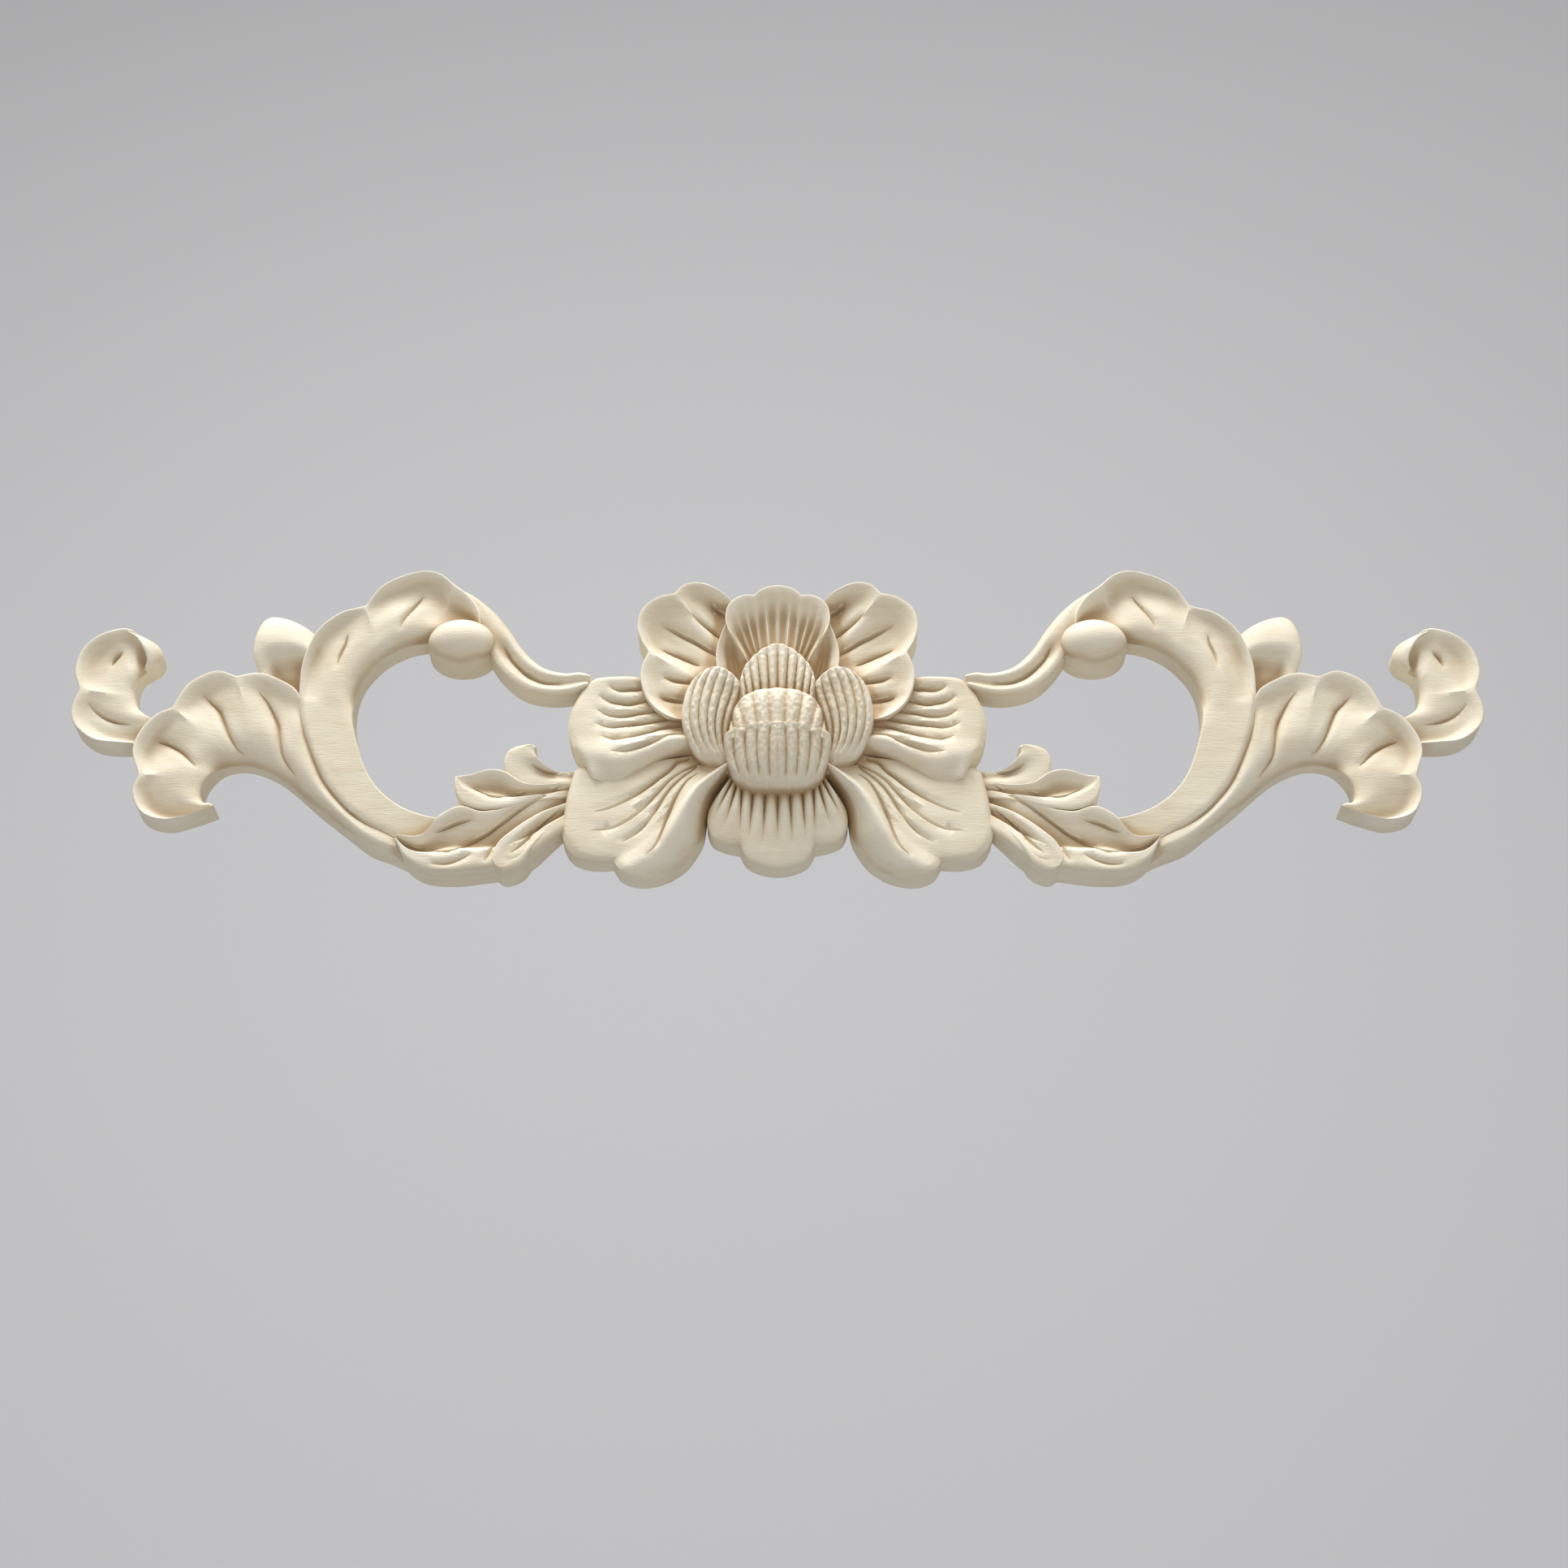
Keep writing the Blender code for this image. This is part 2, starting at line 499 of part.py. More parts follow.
def side_bud_petal():
    """The ribbed petal that wraps the bud's side."""
    counts = (7,)
    ribs = 6
    across = np.linspace(0, 1, 3 * ribs + 1)
    left = rail(17, counts,
                [(-22.4, 12, 17), (-25.3, 8.6, 16.6), (-26.8, 3.4, 16.4), (-27, -2, 16), (-25.4, -8, 15.4),
                 (-22.4, -12.8, 14), (-17.4, -16.8, 12.6)])
    right = rail(18.2, counts, [(-9.2, 6.6, 17.6), (-9.1, 2), (-10.8, -3), (-12, -8, 17),
                                (-10.5, -17.5, 13.4)])
    top_edge = rail(17.4, (len(across) - 1,),
                    [(-22.4, 12, 17), (-20.4, 13), (-17, 13.2), (-13.8, 11.8), (-11, 9.2),
                     (-9.2, 6.6, 17.6)])

    def carve(lobe, v):
        rib = np.abs(np.sin(np.pi * v * ribs))
        return (2.4 * roll(v, 0.35) + 1.3 * hump(v, 0.1, 0.5, 1.0) * (1 - lobe * 0.5)
                - 0.8 * (1 - rib) * (1 - ramp(lobe, 0.65, 0.9)) * ramp(lobe, 0, 0.1) + 0.8 * roll(lobe,
                                                                                                  0.12)
                - 2.0 * ramp(lobe, 0.8, 1.0))

    return block("side_bud_petal", left, right, counts, across, carve, start=top_edge)


def bud_crown():
    """The ribbed crown of the bud."""
    counts = (24,)
    foot = rail(BUD_TOP - 3.7, counts,
                [(-13.6, -10, 12.6), (-7.2, -9.4, 16.6), (0, -9.2), (7.2, -9.4, 16.6), (13.6, -10, 12.6)])
    top_edge = rail(BUD_TOP - 2.6, counts,
                    [(-13.4, -7, 13.2), (-12.4, -1.4, 14.6), (-10.6, 2.8, 15.9), (-6.2, 5, 17.6), (0, 5.7),
                     (6.2, 5, 17.6), (10.6, 2.8, 15.9), (12.4, -1.4, 14.6), (13.4, -7, 13.2)])

    def carve(lobe, v):
        rib = np.abs(np.sin(np.pi * lobe * 8))
        return (2.6 * ramp(v, 0, 0.2) + 2.2 * roll(1 - v, 0.5) + 0.3 * hump(v, -0.4, 0.4, 1.0)
                - 0.7 * (1 - rib) * (1 - ramp(v, 0.8, 1.0)))

    return block("bud_crown", foot, top_edge, counts, rows(4), carve)


def bud_cup():
    """The ribbed cup in front of the bud, on its smooth collar."""
    ribs = 9
    counts = (3 * ribs,)
    across = rows(5)
    collar = rail(9.8, counts, [(-11, -21.3), (-7, -23), (0, -23.5), (7, -23), (11, -21.3)])
    rim = rail(BUD_TOP, counts,
               [(-14.8, -7.4, 16.8), (-12.4, -5.8, 17.8), (-9.6, -5.4, 19), (-5, -5.4, 20.6), (0, -5.4),
                (5, -5.4, 20.6), (9.6, -5.4, 19), (12.4, -5.8, 17.8), (14.8, -7.4, 16.8)])
    left_side = rail(12, (len(across) - 1,),
                     [(-11, -21.3, 9.8), (-13, -18.4), (-14.9, -13.6, 14), (-15.2, -10, 16),
                      (-14.8, -7.4, 16.8)])

    def carve(lobe, v):
        middle = np.sin(np.pi * lobe) ** 0.5
        rib = np.abs(np.sin(np.pi * lobe * ribs))
        dome = np.sqrt(1 - (1 - v) ** 2) - v
        return middle * 9.5 * dome - 0.8 * (1 - rib) * ramp(v, 0.1, 0.3) * (1 - ramp(v, 0.9, 1.0))

    return block("bud_cup", collar, rim, counts, across, carve, start=left_side)


def spray_root():
    """The wood between the spray and the scroll, where they grow together."""
    return knob("spray_root", (-80.8, -28.6), (6.6, 2.2), [(0, 9), (1, 9)], 12)


def flower_heart():
    """The wood under the petals, where they all meet."""
    return knob("flower_heart", (0, 2), (36, 35.7), [(0, 8), (0.66, 8), (0.7, 4.8), (1, 4.8)], 20)


def combine(base, other, operation):
    """Joins the other block to the base, or saws it off the base, and clears the slivers that leaves."""
    boolean = base.modifiers.new(other.name, "BOOLEAN")
    boolean.operation = operation
    boolean.object = other
    result = bmesh.new()
    result.from_object(base, bpy.context.evaluated_depsgraph_get())
    bmesh.ops.remove_doubles(result, verts=result.verts, dist=WELD)
    bmesh.ops.dissolve_degenerate(result, edges=result.edges, dist=WELD)
    bmesh.ops.dissolve_verts(result, verts=[vert for vert in result.verts if len(vert.link_edges) == 2])
    base.modifiers.clear()
    result.to_mesh(base.data)
    result.free()
    bpy.data.objects.remove(other)


def saw_block():
    """A block whose face lies along the flat back."""
    mesh = bmesh.new()
    bmesh.ops.create_cube(mesh, size=SAW, matrix=Matrix.Translation((0, 0, -SAW / 2)))
    return finished("saw", mesh)


def add_other_half(half):
    """Trims the half at the centre line and mirrors it there."""
    mesh = bmesh.new()
    mesh.from_mesh(half.data)
    bmesh.ops.bisect_plane(mesh, geom=mesh.verts[:] + mesh.edges[:] + mesh.faces[:], dist=WELD,
                           plane_co=(0, 0, 0), plane_no=(1, 0, 0), clear_outer=True)
    bmesh.ops.dissolve_verts(mesh, verts=[vert for vert in mesh.verts if len(vert.link_edges) == 2])
    bmesh.ops.triangulate(mesh, faces=mesh.faces, quad_method="BEAUTY", ngon_method="BEAUTY")
    bmesh.ops.mirror(mesh, geom=mesh.verts[:] + mesh.edges[:] + mesh.faces[:], axis="X", merge_dist=WELD)
    bmesh.ops.recalc_face_normals(mesh, faces=mesh.faces)
    mesh.to_mesh(half.data)
    mesh.free()


def wood():
    """Pale rubberwood, sanded and left bare."""
    material = bpy.data.materials.new("wood")
    material.use_nodes = True
    shader = material.node_tree.nodes["Principled BSDF"]
    shader.inputs["Base Color"].default_value = WOOD_COLOUR
    shader.inputs["Roughness"].default_value = WOOD_ROUGHNESS
    shader.inputs["Metallic"].default_value = 0.0
    return material


def main():
    clear_scene()
    applique = scroll_band()
    for place, make in enumerate(REST_OF_THE_HALF):
        other = make()
        for vert in other.data.vertices:
            if vert.co.y > 0:
                vert.co.y += (place + 1) * STAGGER * SCALE
        combine(applique, other, "UNION")
    combine(applique, saw_block(), "DIFFERENCE")
    add_other_half(applique)
    applique.name = "applique"
    applique.data.shade_smooth()
    applique.data.set_sharp_from_angle(angle=CREASE)
    applique.data.materials.append(wood())


REST_OF_THE_HALF = (
    scroll_eye, scroll_stem, large_leaf, end_curl, end_curl_roll, bract,
    spray_leaf, spray_lower_lobe, spray_middle_lobe, spray_upper_lobe, spray_root,
    flower_heart, lower_petal, side_petal, upper_petal, bottom_petal, hood_ear, hood,
    rear_bud_petal, side_bud_petal, bud_crown, bud_cup)

main()
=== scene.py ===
"""The looks of a carved wood applique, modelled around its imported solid.

The carving is drawn like the solid, but finer: the left half lies flat, in millimetres, with x along
(negative to the left), y up and z the height above the back. Each petal, leaf or scroll is a block with a
carved top. The blocks are joined, the chisel strokes are cut into them, and the half is trimmed, mirrored
and stood upright in metres.
"""

import itertools
import math

import bmesh
import bpy
import numpy as np
from bpy.props import FloatProperty, FloatVectorProperty, PointerProperty
from mathutils import Matrix, Vector, noise
from mathutils.bvhtree import BVHTree


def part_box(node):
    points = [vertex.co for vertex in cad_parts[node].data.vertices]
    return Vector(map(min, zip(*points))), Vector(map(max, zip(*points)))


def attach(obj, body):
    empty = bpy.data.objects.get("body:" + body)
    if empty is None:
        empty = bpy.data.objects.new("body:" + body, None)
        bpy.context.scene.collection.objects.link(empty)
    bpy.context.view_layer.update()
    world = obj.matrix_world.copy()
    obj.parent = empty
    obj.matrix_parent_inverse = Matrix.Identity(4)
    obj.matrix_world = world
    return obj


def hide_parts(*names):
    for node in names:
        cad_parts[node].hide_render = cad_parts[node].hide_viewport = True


bl_info = {
    "name": "Carved applique",
    "version": (1, 0, 0),
    "blender": (4, 5, 0),
    "location": "3D View > Sidebar > Applique",
    "description": "Carves a peony and leaf applique, finishes it as pale wood and sets it in a studio",
    "category": "Add Mesh",
}

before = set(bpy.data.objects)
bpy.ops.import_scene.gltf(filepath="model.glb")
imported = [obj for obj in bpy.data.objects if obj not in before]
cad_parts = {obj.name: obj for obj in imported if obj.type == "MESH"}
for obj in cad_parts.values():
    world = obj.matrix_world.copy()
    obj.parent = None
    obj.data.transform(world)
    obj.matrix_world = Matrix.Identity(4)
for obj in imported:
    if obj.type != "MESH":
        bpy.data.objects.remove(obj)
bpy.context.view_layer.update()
CAD_LOW, CAD_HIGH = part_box("applique")

# The drawing, in millimetres.
DRAWN_LENGTH = 400.0
SCALE = (CAD_HIGH.x - CAD_LOW.x) / DRAWN_LENGTH  # drawn millimetres to metres
UNDER = -4.0  # how far blocks are drawn below the back, before the saw cut
WELD = 0.004  # points closer than this are one
SAW = 600.0  # side of the block that trims the back
STAGGER = 0.021  # each block ends a little lower than the last, so no two ends lie in one plane
DENSITY = 5  # columns of the fine surface for each column of the drawing
ROW_DENSITY = 6  # and rows for each of its rows
CURVE_STEPS = 48  # pieces of a smooth curve between two of its knots
QUARTER_TURN = math.pi / 2
CREASE = math.radians(38)  # edges that turn by more than this look sharp
WANDER = (0.13, 0.17, 3.0)  # scale along x and y, and layer, of the noise that makes the surface uneven
GOUGE_MARKS = (1.1, 0.9, 9.0)  # the same for the small marks on the bud
RAY_START = 60.0  # height from which rays look down on the carving
SPLINTER = 200  # a loose group with fewer points than this is a splinter

# Where the photograph's camera stood: below the piece, looking up at its face.
VIEW_TILT = math.radians(24.5)
VIEW_DISTANCE = 0.8517
VIEW_TARGET = Vector((0.0018, 0.0, -0.0153))
VIEW_LENS = 69.0
VIEW_HEIGHT = 765.0  # the camera above the plane of a drawn stroke, in millimetres
VIEW_DROP = 368.5  # and how far it stands below the middle of the drawing

# The studio, in metres.
FLOOR_REACH = 4.0
WALL_HEIGHT = 5.0
SWEEP_RADIUS = 0.6
SWEEP_STEPS = 16
TOP_LIGHT_SIZE = 0.8
TOP_LIGHT_PLACE = (-0.2, -0.42, 1.4)
FRONT_LIGHT_SIZE = 1.4
FRONT_LIGHT_PLACE = (0.3, -1.8, 0.2)


def number(name, description, default, **limits):
    """A size or a strength that a user can change."""
    return FloatProperty(name=name, description=description, default=default, **limits)


def colour(name, description, default):
    """A colour that a user can change."""
    return FloatVectorProperty(name=name, description=description, subtype="COLOR", size=4, min=0.0, max=1.0,
                               default=default)


class CarvingSettings(bpy.types.PropertyGroup):
    """Heights of the carving above its flat back, and the chisel's marks, in millimetres."""

    bud_top: number("Bud", "Crown of the bud above the back", 21.0)
    hood_rim: number("Hood rim", "Rim of the fluted petal behind the bud", 14.0)
    spray_rim: number("Spray rim", "Rims of the small leaf spray", 12.6)
    side_crest: number("Side petal crest", "Rolled lower edge of the side petals", 13.6)
    upper_rim: number("Upper petal rim", "Rims of the upper petals", 11.3)
    scroll_rim: number("Scroll rim", "Outer rim of the C-scroll", 11.0)
    leaf_rim: number("Leaf rim", "Rims of the large leaf and the end curl", 10.0)
    petal_edge: number("Lower petal edge", "Outer edge of the lower petals", 9.0)
    bottom_edge: number("Bottom petal edge", "Outer edge of the bottom petal", 8.3)
    edge_round: number("Edge rounding", "Radius that sanding leaves on the edges", 0.45, min=0.0, max=1.0)
    unevenness: number("Unevenness", "How far the hand-carved surface wanders", 0.12, min=0.0, max=0.5)
    rib_depth: number("Rib depth", "Depth of the grooves between the bud's ribs", 1.25, min=0.0, max=2.0)
    chips: number("Chips", "Height of the small gouge marks on the bud", 0.3, min=0.0, max=0.6)
    stroke_depth: number("Stroke depth", "Depth of a chisel stroke's sharp cut", 0.8, min=0.1, max=2.0)
    valley_depth: number("Valley depth", "Depth of the soft valley round a stroke", 0.8, min=0.0, max=2.0)
    valley_width: number("Valley width", "Width of the soft valley round a stroke", 2.4, min=0.5, max=6.0)


class WoodSettings(bpy.types.PropertyGroup):
    """Colours and surface of the pale wood, with the painted shade of its hollows and the painted highlight
    of its ridges.
    """

    face_colour: colour("Face", "Colour of the open faces", (0.80, 0.73, 0.565, 1.0))
    # painted shade: the colour that hollows and cuts are darkened towards, where shade falls
    painted_shade_colour: colour("Hollows", "Colour of the deep hollows", (0.47, 0.33, 0.18, 1.0))
    grain_colour: colour("Grain", "Colour of the darker grain", (0.68, 0.55, 0.37, 1.0))
    # painted highlight: the colour that ridges and edges are lightened towards, where light catches them
    painted_highlight_colour: colour("Edges", "Colour of the sanded edges and ridges", (0.90, 0.83, 0.70, 1.0))
    roughness: number("Roughness", "Roughness of the sanded wood", 0.62, min=0.0, max=1.0, subtype="FACTOR")


class StudioSettings(bpy.types.PropertyGroup):
    """The plain studio round the piece."""

    floor_colour: colour("Floor", "Colour of the floor and the wall", (0.6, 0.6, 0.61, 1.0))
    floor_drop: number("Floor drop", "How far the floor lies below the piece", 1.1, unit="LENGTH")
    wall_distance: number("Wall distance", "How far the wall stands behind it", 1.5, unit="LENGTH")
    top_light: number("Top light", "Power of the soft light above", 29.0, unit="POWER")
    front_light: number("Front light", "Power of the light beside the camera", 5.0, unit="POWER")
    world_strength: number("Room light", "Strength of the light all round", 0.52, min=0.0)


def dense(*counts):
    """Columns for each lobe of the fine surface."""
    return tuple(count * DENSITY for count in counts)


def spline(points, steps=CURVE_STEPS):
    """A smooth curve through the points, as a fine polyline; knot k is its point k * steps."""
    knots = np.array(points, float)
    if len(knots) == 2:
        return knots[0] + np.linspace(0, 1, steps + 1)[:, None] * (knots[1] - knots[0])
    padded = np.vstack([2 * knots[0] - knots[1], knots, 2 * knots[-1] - knots[-2]])
    gaps = np.sqrt(np.linalg.norm(np.diff(padded, axis=0), axis=1))
    times = np.concatenate([[0], np.cumsum(gaps)])
    fine = [knots[0][None]]
    for k in range(1, len(knots)):
        p, at = padded[k - 1:k + 3], times[k - 1:k + 3]
        t = np.linspace(at[1], at[2], steps + 1)[1:, None]
        a = [((at[j + 1] - t) * p[j] + (t - at[j]) * p[j + 1]) / (at[j + 1] - at[j]) for j in range(3)]
        b = [((at[j + 2] - t) * a[j] + (t - at[j]) * a[j + 1]) / (at[j + 2] - at[j]) for j in range(2)]
        fine.append(((at[2] - t) * b[0] + (t - at[1]) * b[1]) / (at[2] - at[1]))
    return np.vstack(fine)


def evenly(line, count):
    """count + 1 points spread evenly along a polyline."""
    along = np.concatenate([[0], np.cumsum(np.linalg.norm(np.diff(line, axis=0), axis=1))])
    wanted = np.linspace(0, along[-1], count + 1)
    return np.stack([np.interp(wanted, along, line[:, axis]) for axis in range(3)], axis=1)


def rail(height, counts, *lobes, sharp=True):
    """One edge of a block, lobe after lobe. Each lobe goes on from the last one's end.

    Points are (x, y) at the given height, or (x, y, height). Sharp edges have a corner between lobes.
    """
    lobes = [[(*p, height) if len(p) == 2 else p for p in lobe] for lobe in lobes]
    for k in range(1, len(lobes)):
        lobes[k] = [lobes[k - 1][-1]] + lobes[k]
    if sharp:
        lines = [spline(lobe) for lobe in lobes]
    else:
        whole = spline(lobes[0] + [p for lobe in lobes[1:] for p in lobe[1:]])
        ends = np.cumsum([0] + [(len(lobe) - 1) * CURVE_STEPS for lobe in lobes])
        lines = [whole[a:b + 1] for a, b in zip(ends[:-1], ends[1:])]
    parts = [evenly(line, count) for line, count in zip(lines, counts)]
    return np.vstack([parts[0]] + [part[1:] for part in parts[1:]])


def ramp(t, start, end):
    """0 before start, 1 after end, and smooth between."""
    t = np.clip((t - start) / (end - start), 0, 1)
    return t * t * (3 - 2 * t)


def hump(t, start, top, end):
    """0 at start and end, 1 at top, and smooth between."""
    return ramp(t, start, top) * (1 - ramp(t, top, end))


def roll(t, width):
    """A quarter round: -1 at the edge t = 0, and 0 from width inwards."""
    t = np.clip(t / width, 0, 1)
    return np.sqrt(1 - (1 - t) ** 2) - 1


def arches(t, power):
    """A row of arches: 0 at whole numbers and 1 between, rounder for a lower power."""
    return np.abs(np.sin(np.pi * t)) ** power


def both_sides(*points):
    """Points from the left up to the centre line, and their mirror images."""
    return [*points, *((-x, *rest) for x, *rest in reversed(points[:-1]))]


def scalloped(lobe, v):
    """How far each lobe dips between its sides: a sharp fold at the rim, and a soft one further in."""
    fold = ramp(v, 0.55, 0.95)
    return fold * arches(lobe, 0.7) + (1 - fold) * (0.5 - 0.5 * np.cos(2 * np.pi * lobe))


def rows(count):
    """Distances across a block, closer at the edges."""
    many = count * ROW_DENSITY
    return np.array([0.5 - 0.5 * math.cos(math.pi * k / many) for k in range(many + 1)])


def lobe_places(counts):
    """Where each column stands, counted in lobes: 1.5 is the middle of the second lobe."""
    spans = [k + np.arange(count) / count for k, count in enumerate(counts)]
    return np.concatenate(spans + [[len(counts)]])


def rounded(top, radius):
    """Lowers the points near the four edges of a patch, as sanding rounds them."""
    for axis in (0, 1):
        steps = np.linalg.norm(np.diff(top, axis=axis), axis=2)
        walked = np.cumsum(steps, axis=axis)
        zero = np.zeros_like(np.take(walked, [0], axis=axis))
        walked = np.concatenate([zero, walked], axis=axis)
        left = np.take(walked, [-1], axis=axis) - walked
        near = np.clip(radius - np.minimum(walked, left), 0, radius)
        top[..., 2] -= radius - np.sqrt(radius * radius - near * near)
    return top


def noise_at(point, across, up, layer):
    """A value of the noise above a point."""
    return noise.noise(Vector((point[0] * across, point[1] * up, layer)))


def block(s, near, far, counts, across, carve, start=None, finish=None, chips=0.0):
    """A closed block, whose top is a patch between near, far and the two ends.

    carve(lobe, across) shapes the top. The chips are the height of the small marks that a gouge leaves.
    """
    v = across[None, :, None]
    u = np.linspace(0, 1, len(near))[:, None, None]
    top = near[:, None] * (1 - v) + far[:, None] * v
    if start is not None:
        top = top + (1 - u) * (start[None] - top[:1])
    if finish is not None:
        top = top + u * (finish[None] - top[-1:])
    top[..., 2] += carve(lobe_places(counts)[:, None], across[None, :])
    top = rounded(top, s.edge_round)
    for point in top.reshape(-1, 3):
        point[2] += s.unevenness * noise_at(point, *WANDER)
        point[2] += chips * noise_at(point, *GOUGE_MARKS)

    mesh = bmesh.new()
    bmesh.ops.create_grid(mesh, x_segments=len(near) - 1, y_segments=len(across) - 1, size=1)
    for vert in mesh.verts:
        i = round((vert.co.x + 1) / 2 * (len(near) - 1))
        j = round((vert.co.y + 1) / 2 * (len(across) - 1))
        vert.co = top[i, j]
    below = bmesh.ops.extrude_face_region(mesh, geom=mesh.faces[:], use_keep_orig=True)
    for vert in below["geom"]:
        if isinstance(vert, bmesh.types.BMVert):
            vert.co.z = UNDER
    bmesh.ops.recalc_face_normals(mesh, faces=mesh.faces)
    return mesh


def knob(centre, radii, profile, sides):
    """A turned knob, made oval: the profile is (share of the radius, height) from the middle out."""
    mesh = bmesh.new()
    line = [mesh.verts.new((r, 0, z)) for r, z in profile + [(1, UNDER), (0, UNDER)]]
    edges = [mesh.edges.new(pair) for pair in zip(line[:-1], line[1:])]
    bmesh.ops.spin(mesh, geom=line + edges, axis=(0, 0, 1), cent=(0, 0, 0), angle=2 * math.pi,
                   steps=sides, use_merge=True)
    bmesh.ops.remove_doubles(mesh, verts=mesh.verts, dist=0.001)
    bmesh.ops.scale(mesh, vec=(radii[0], radii[1], 1), verts=mesh.verts)
    bmesh.ops.translate(mesh, vec=(centre[0], centre[1], 0), verts=mesh.verts)
    bmesh.ops.recalc_face_normals(mesh, faces=mesh.faces)
    return mesh


def scroll_band(s):
    """The C-scroll: a band that rises from under the spray and ends in a scooped, scalloped head."""
    counts = dense(9, 6, 6, 4)
    outer = rail(
        s.scroll_rim, counts,
        [(-88, -36, 7), (-106.5, -36.2, 9), (-114.4, -32.2, 9.6), (-121.6, -26.4, 9.8),
         (-127.7, -18.7, 9.8), (-131.8, -9.9, 9.8), (-134.6, -1.6, 9.8), (-136, 7, 9.8)],
        [(-135.4, 18, 10.5), (-132, 27.6), (-126, 33.6), (-118.4, 36.1)],
        [(-113.5, 42.9), (-103, 47.4), (-97.8, 46.7), (-93, 42.9)],
        [(-88.8, 39.3), (-85.7, 34.3), (-84.8, 28.5)])
    inner = rail(
        10, counts,
        [(-88, -30.5, 9), (-98.3, -29.3), (-106.5, -25.7), (-113.7, -18.5), (-118.6, -6.5), (-120.4, 3)],
        [(-118.8, 12.5), (-113.5, 20)], [(-107, 24.3), (-100, 26)], [(-95, 26.2), (-90, 25.5)], sharp=False)

    def carve(lobe, v):
        upper = ramp(lobe, 0.85, 1.3)
        scallop = arches(lobe, 0.7) * (lobe > 1) * (lobe < 3)
        head = ramp(lobe, 2.3, 3.2)
        return (1.6 * (1 - upper) * roll(1 - v, 0.12) + 4.2 * upper * roll(v, 0.3)
                - (2.4 * scallop * hump(v, 0.4, 0.84, 1.0) + 3.2 * head * hump(v, 0.1, 0.65, 1.0)))

    return block(s, inner, outer, counts, rows(6), carve)


def scroll_eye(s):
    """The rounded eye that the scroll's head winds into."""
    turn = np.linspace(0, 1, 24) * QUARTER_TURN
    dome = [(math.sin(a), 7.8 + 7.8 * math.cos(a)) for a in turn]
    return knob((-90.4, 24.8), (9.8, 7.2), dome, 96)


def scroll_stem(s):
    """The two-strand stem from the scroll's head down to the flower."""
    counts = dense(12)
    inner = rail(
        10, counts,
        [(-94, 42.4), (-89.6, 38.7), (-86.2, 33.5), (-84.9, 27.2), (-81.9, 20.4), (-77.8, 14.8),
         (-72.7, 10.7, 9.6), (-65.1, 8.7, 9.4), (-58.4, 9.2, 10), (-54, 10.8, 10.6)])
    outer = rail(
        9.9, counts,
        [(-94.4, 43.6), (-87.8, 40.5), (-82.2, 36), (-77.4, 30.1), (-72.7, 23), (-67, 17.6),
         (-60.3, 15.6, 10.2), (-56.4, 15.7, 10.6), (-53.2, 14.6, 10.8)])
    groove = 0.5

    def carve(lobe, v):
        lower = ramp(lobe, 0.35, 0.5)
        valley = 1.2 * hump(v, groove - 0.35, groove, groove + 0.35)
        return 2.6 * roll(1 - v, 0.4) + lower * (0.8 * roll(v, 0.25) - valley)

    return block(s, inner, outer, counts, rows(4), carve)


def large_leaf(s):
    """The large leaf that opens outside the C-scroll, with four scalloped lobes and a turned-in tip."""
    counts = dense(8, 5, 5, 5, 6)
    rim = rail(
        s.leaf_rim, counts,
        [(-90, -38, 7), (-105.6, -34.9, 9.2), (-113.2, -31, 9.4), (-120.4, -25.2, 9.5),
         (-126.4, -17.7, 9.5), (-130.5, -9, 9.5), (-133.2, -1, 9.5), (-134.8, 5.5, 9.6)],
        [(-136.6, 9.6), (-141.3, 12.8), (-147.6, 15.1), (-153.9, 14)],
        [(-159.7, 15.7), (-167.1, 12), (-170.4, 6.5), (-171.3, 4.2)],
        [(-175.8, 2), (-180, -3.4), (-181.5, -9), (-179.2, -17)],
        [(-180.4, -22), (-177.6, -28.2), (-171, -30.5), (-163.5, -28.7), (-157.3, -26.2)])
    throat = rail(
        9.4, counts,
        [(-98, -45.3), (-106.2, -41), (-113.8, -37.8), (-119.6, -33.3), (-128.5, -26.1), (-136, -19.3)],
        [(-140.5, -15.8), (-145.4, -13.3)], [(-149, -12.2), (-152.6, -12.1)],
        [(-156.5, -13.2), (-159.6, -16.2)],
        [(-161.3, -19.5), (-161.6, -22.6), (-160.6, -24.7), (-158.9, -25.1)], sharp=False)

    def carve(lobe, v):
        stem = 1 - ramp(lobe, 0.8, 1.2)
        tip = ramp(lobe, 3.2, 4.2)
        scallop = scalloped(lobe, v) * (lobe > 1)
        return (1.8 * stem * roll(1 - v, 0.14) + (5.6 - 4.2 * tip) * roll(v, 0.45)
                - scallop * (1.9 + 1.0 * ramp(lobe, 2.5, 3.5)) * hump(v, 0.25, 0.8, 1.0))

    return block(s, throat, rim, counts, rows(6), carve)


def end_curl(s):
    """The small curled leaf at the far end."""
    counts = dense(5, 6, 3)
    rim = rail(
        s.leaf_rim, counts,
        [(-172, -8, 5), (-181.5, -6.6, 8.5), (-185.4, -6.9), (-193.3, -5.7), (-199.1, -0.6), (-199.9, 4),
         (-198.3, 9.8)], [(-200, 15.5), (-198.7, 22.5), (-194.4, 27.1), (-187.6, 29.3), (-185, 28.8)],
        [(-181.5, 25.1), (-179.4, 19.5)])
    throat = rail(
        9, counts,
        [(-168, -1, 4), (-178.7, 2.2), (-181.6, 5), (-182.7, 8)], [(-183, 11), (-182.4, 14)],
        [(-181.2, 16), (-179.6, 17)], sharp=False)

    def carve(lobe, v):
        scallop = arches(np.minimum(lobe, 1.8), 0.7)
        return (2.0 * ramp(lobe, 0.4, 1) * roll(v, 0.25) - scallop * 2.0 * hump(v, 0.1, 0.75, 1.0)
                - 2.6 * ramp(lobe, 1.7, 2.6) * hump(v, -0.5, 0.3, 1.0))

    return block(s, throat, rim, counts, rows(5), carve)


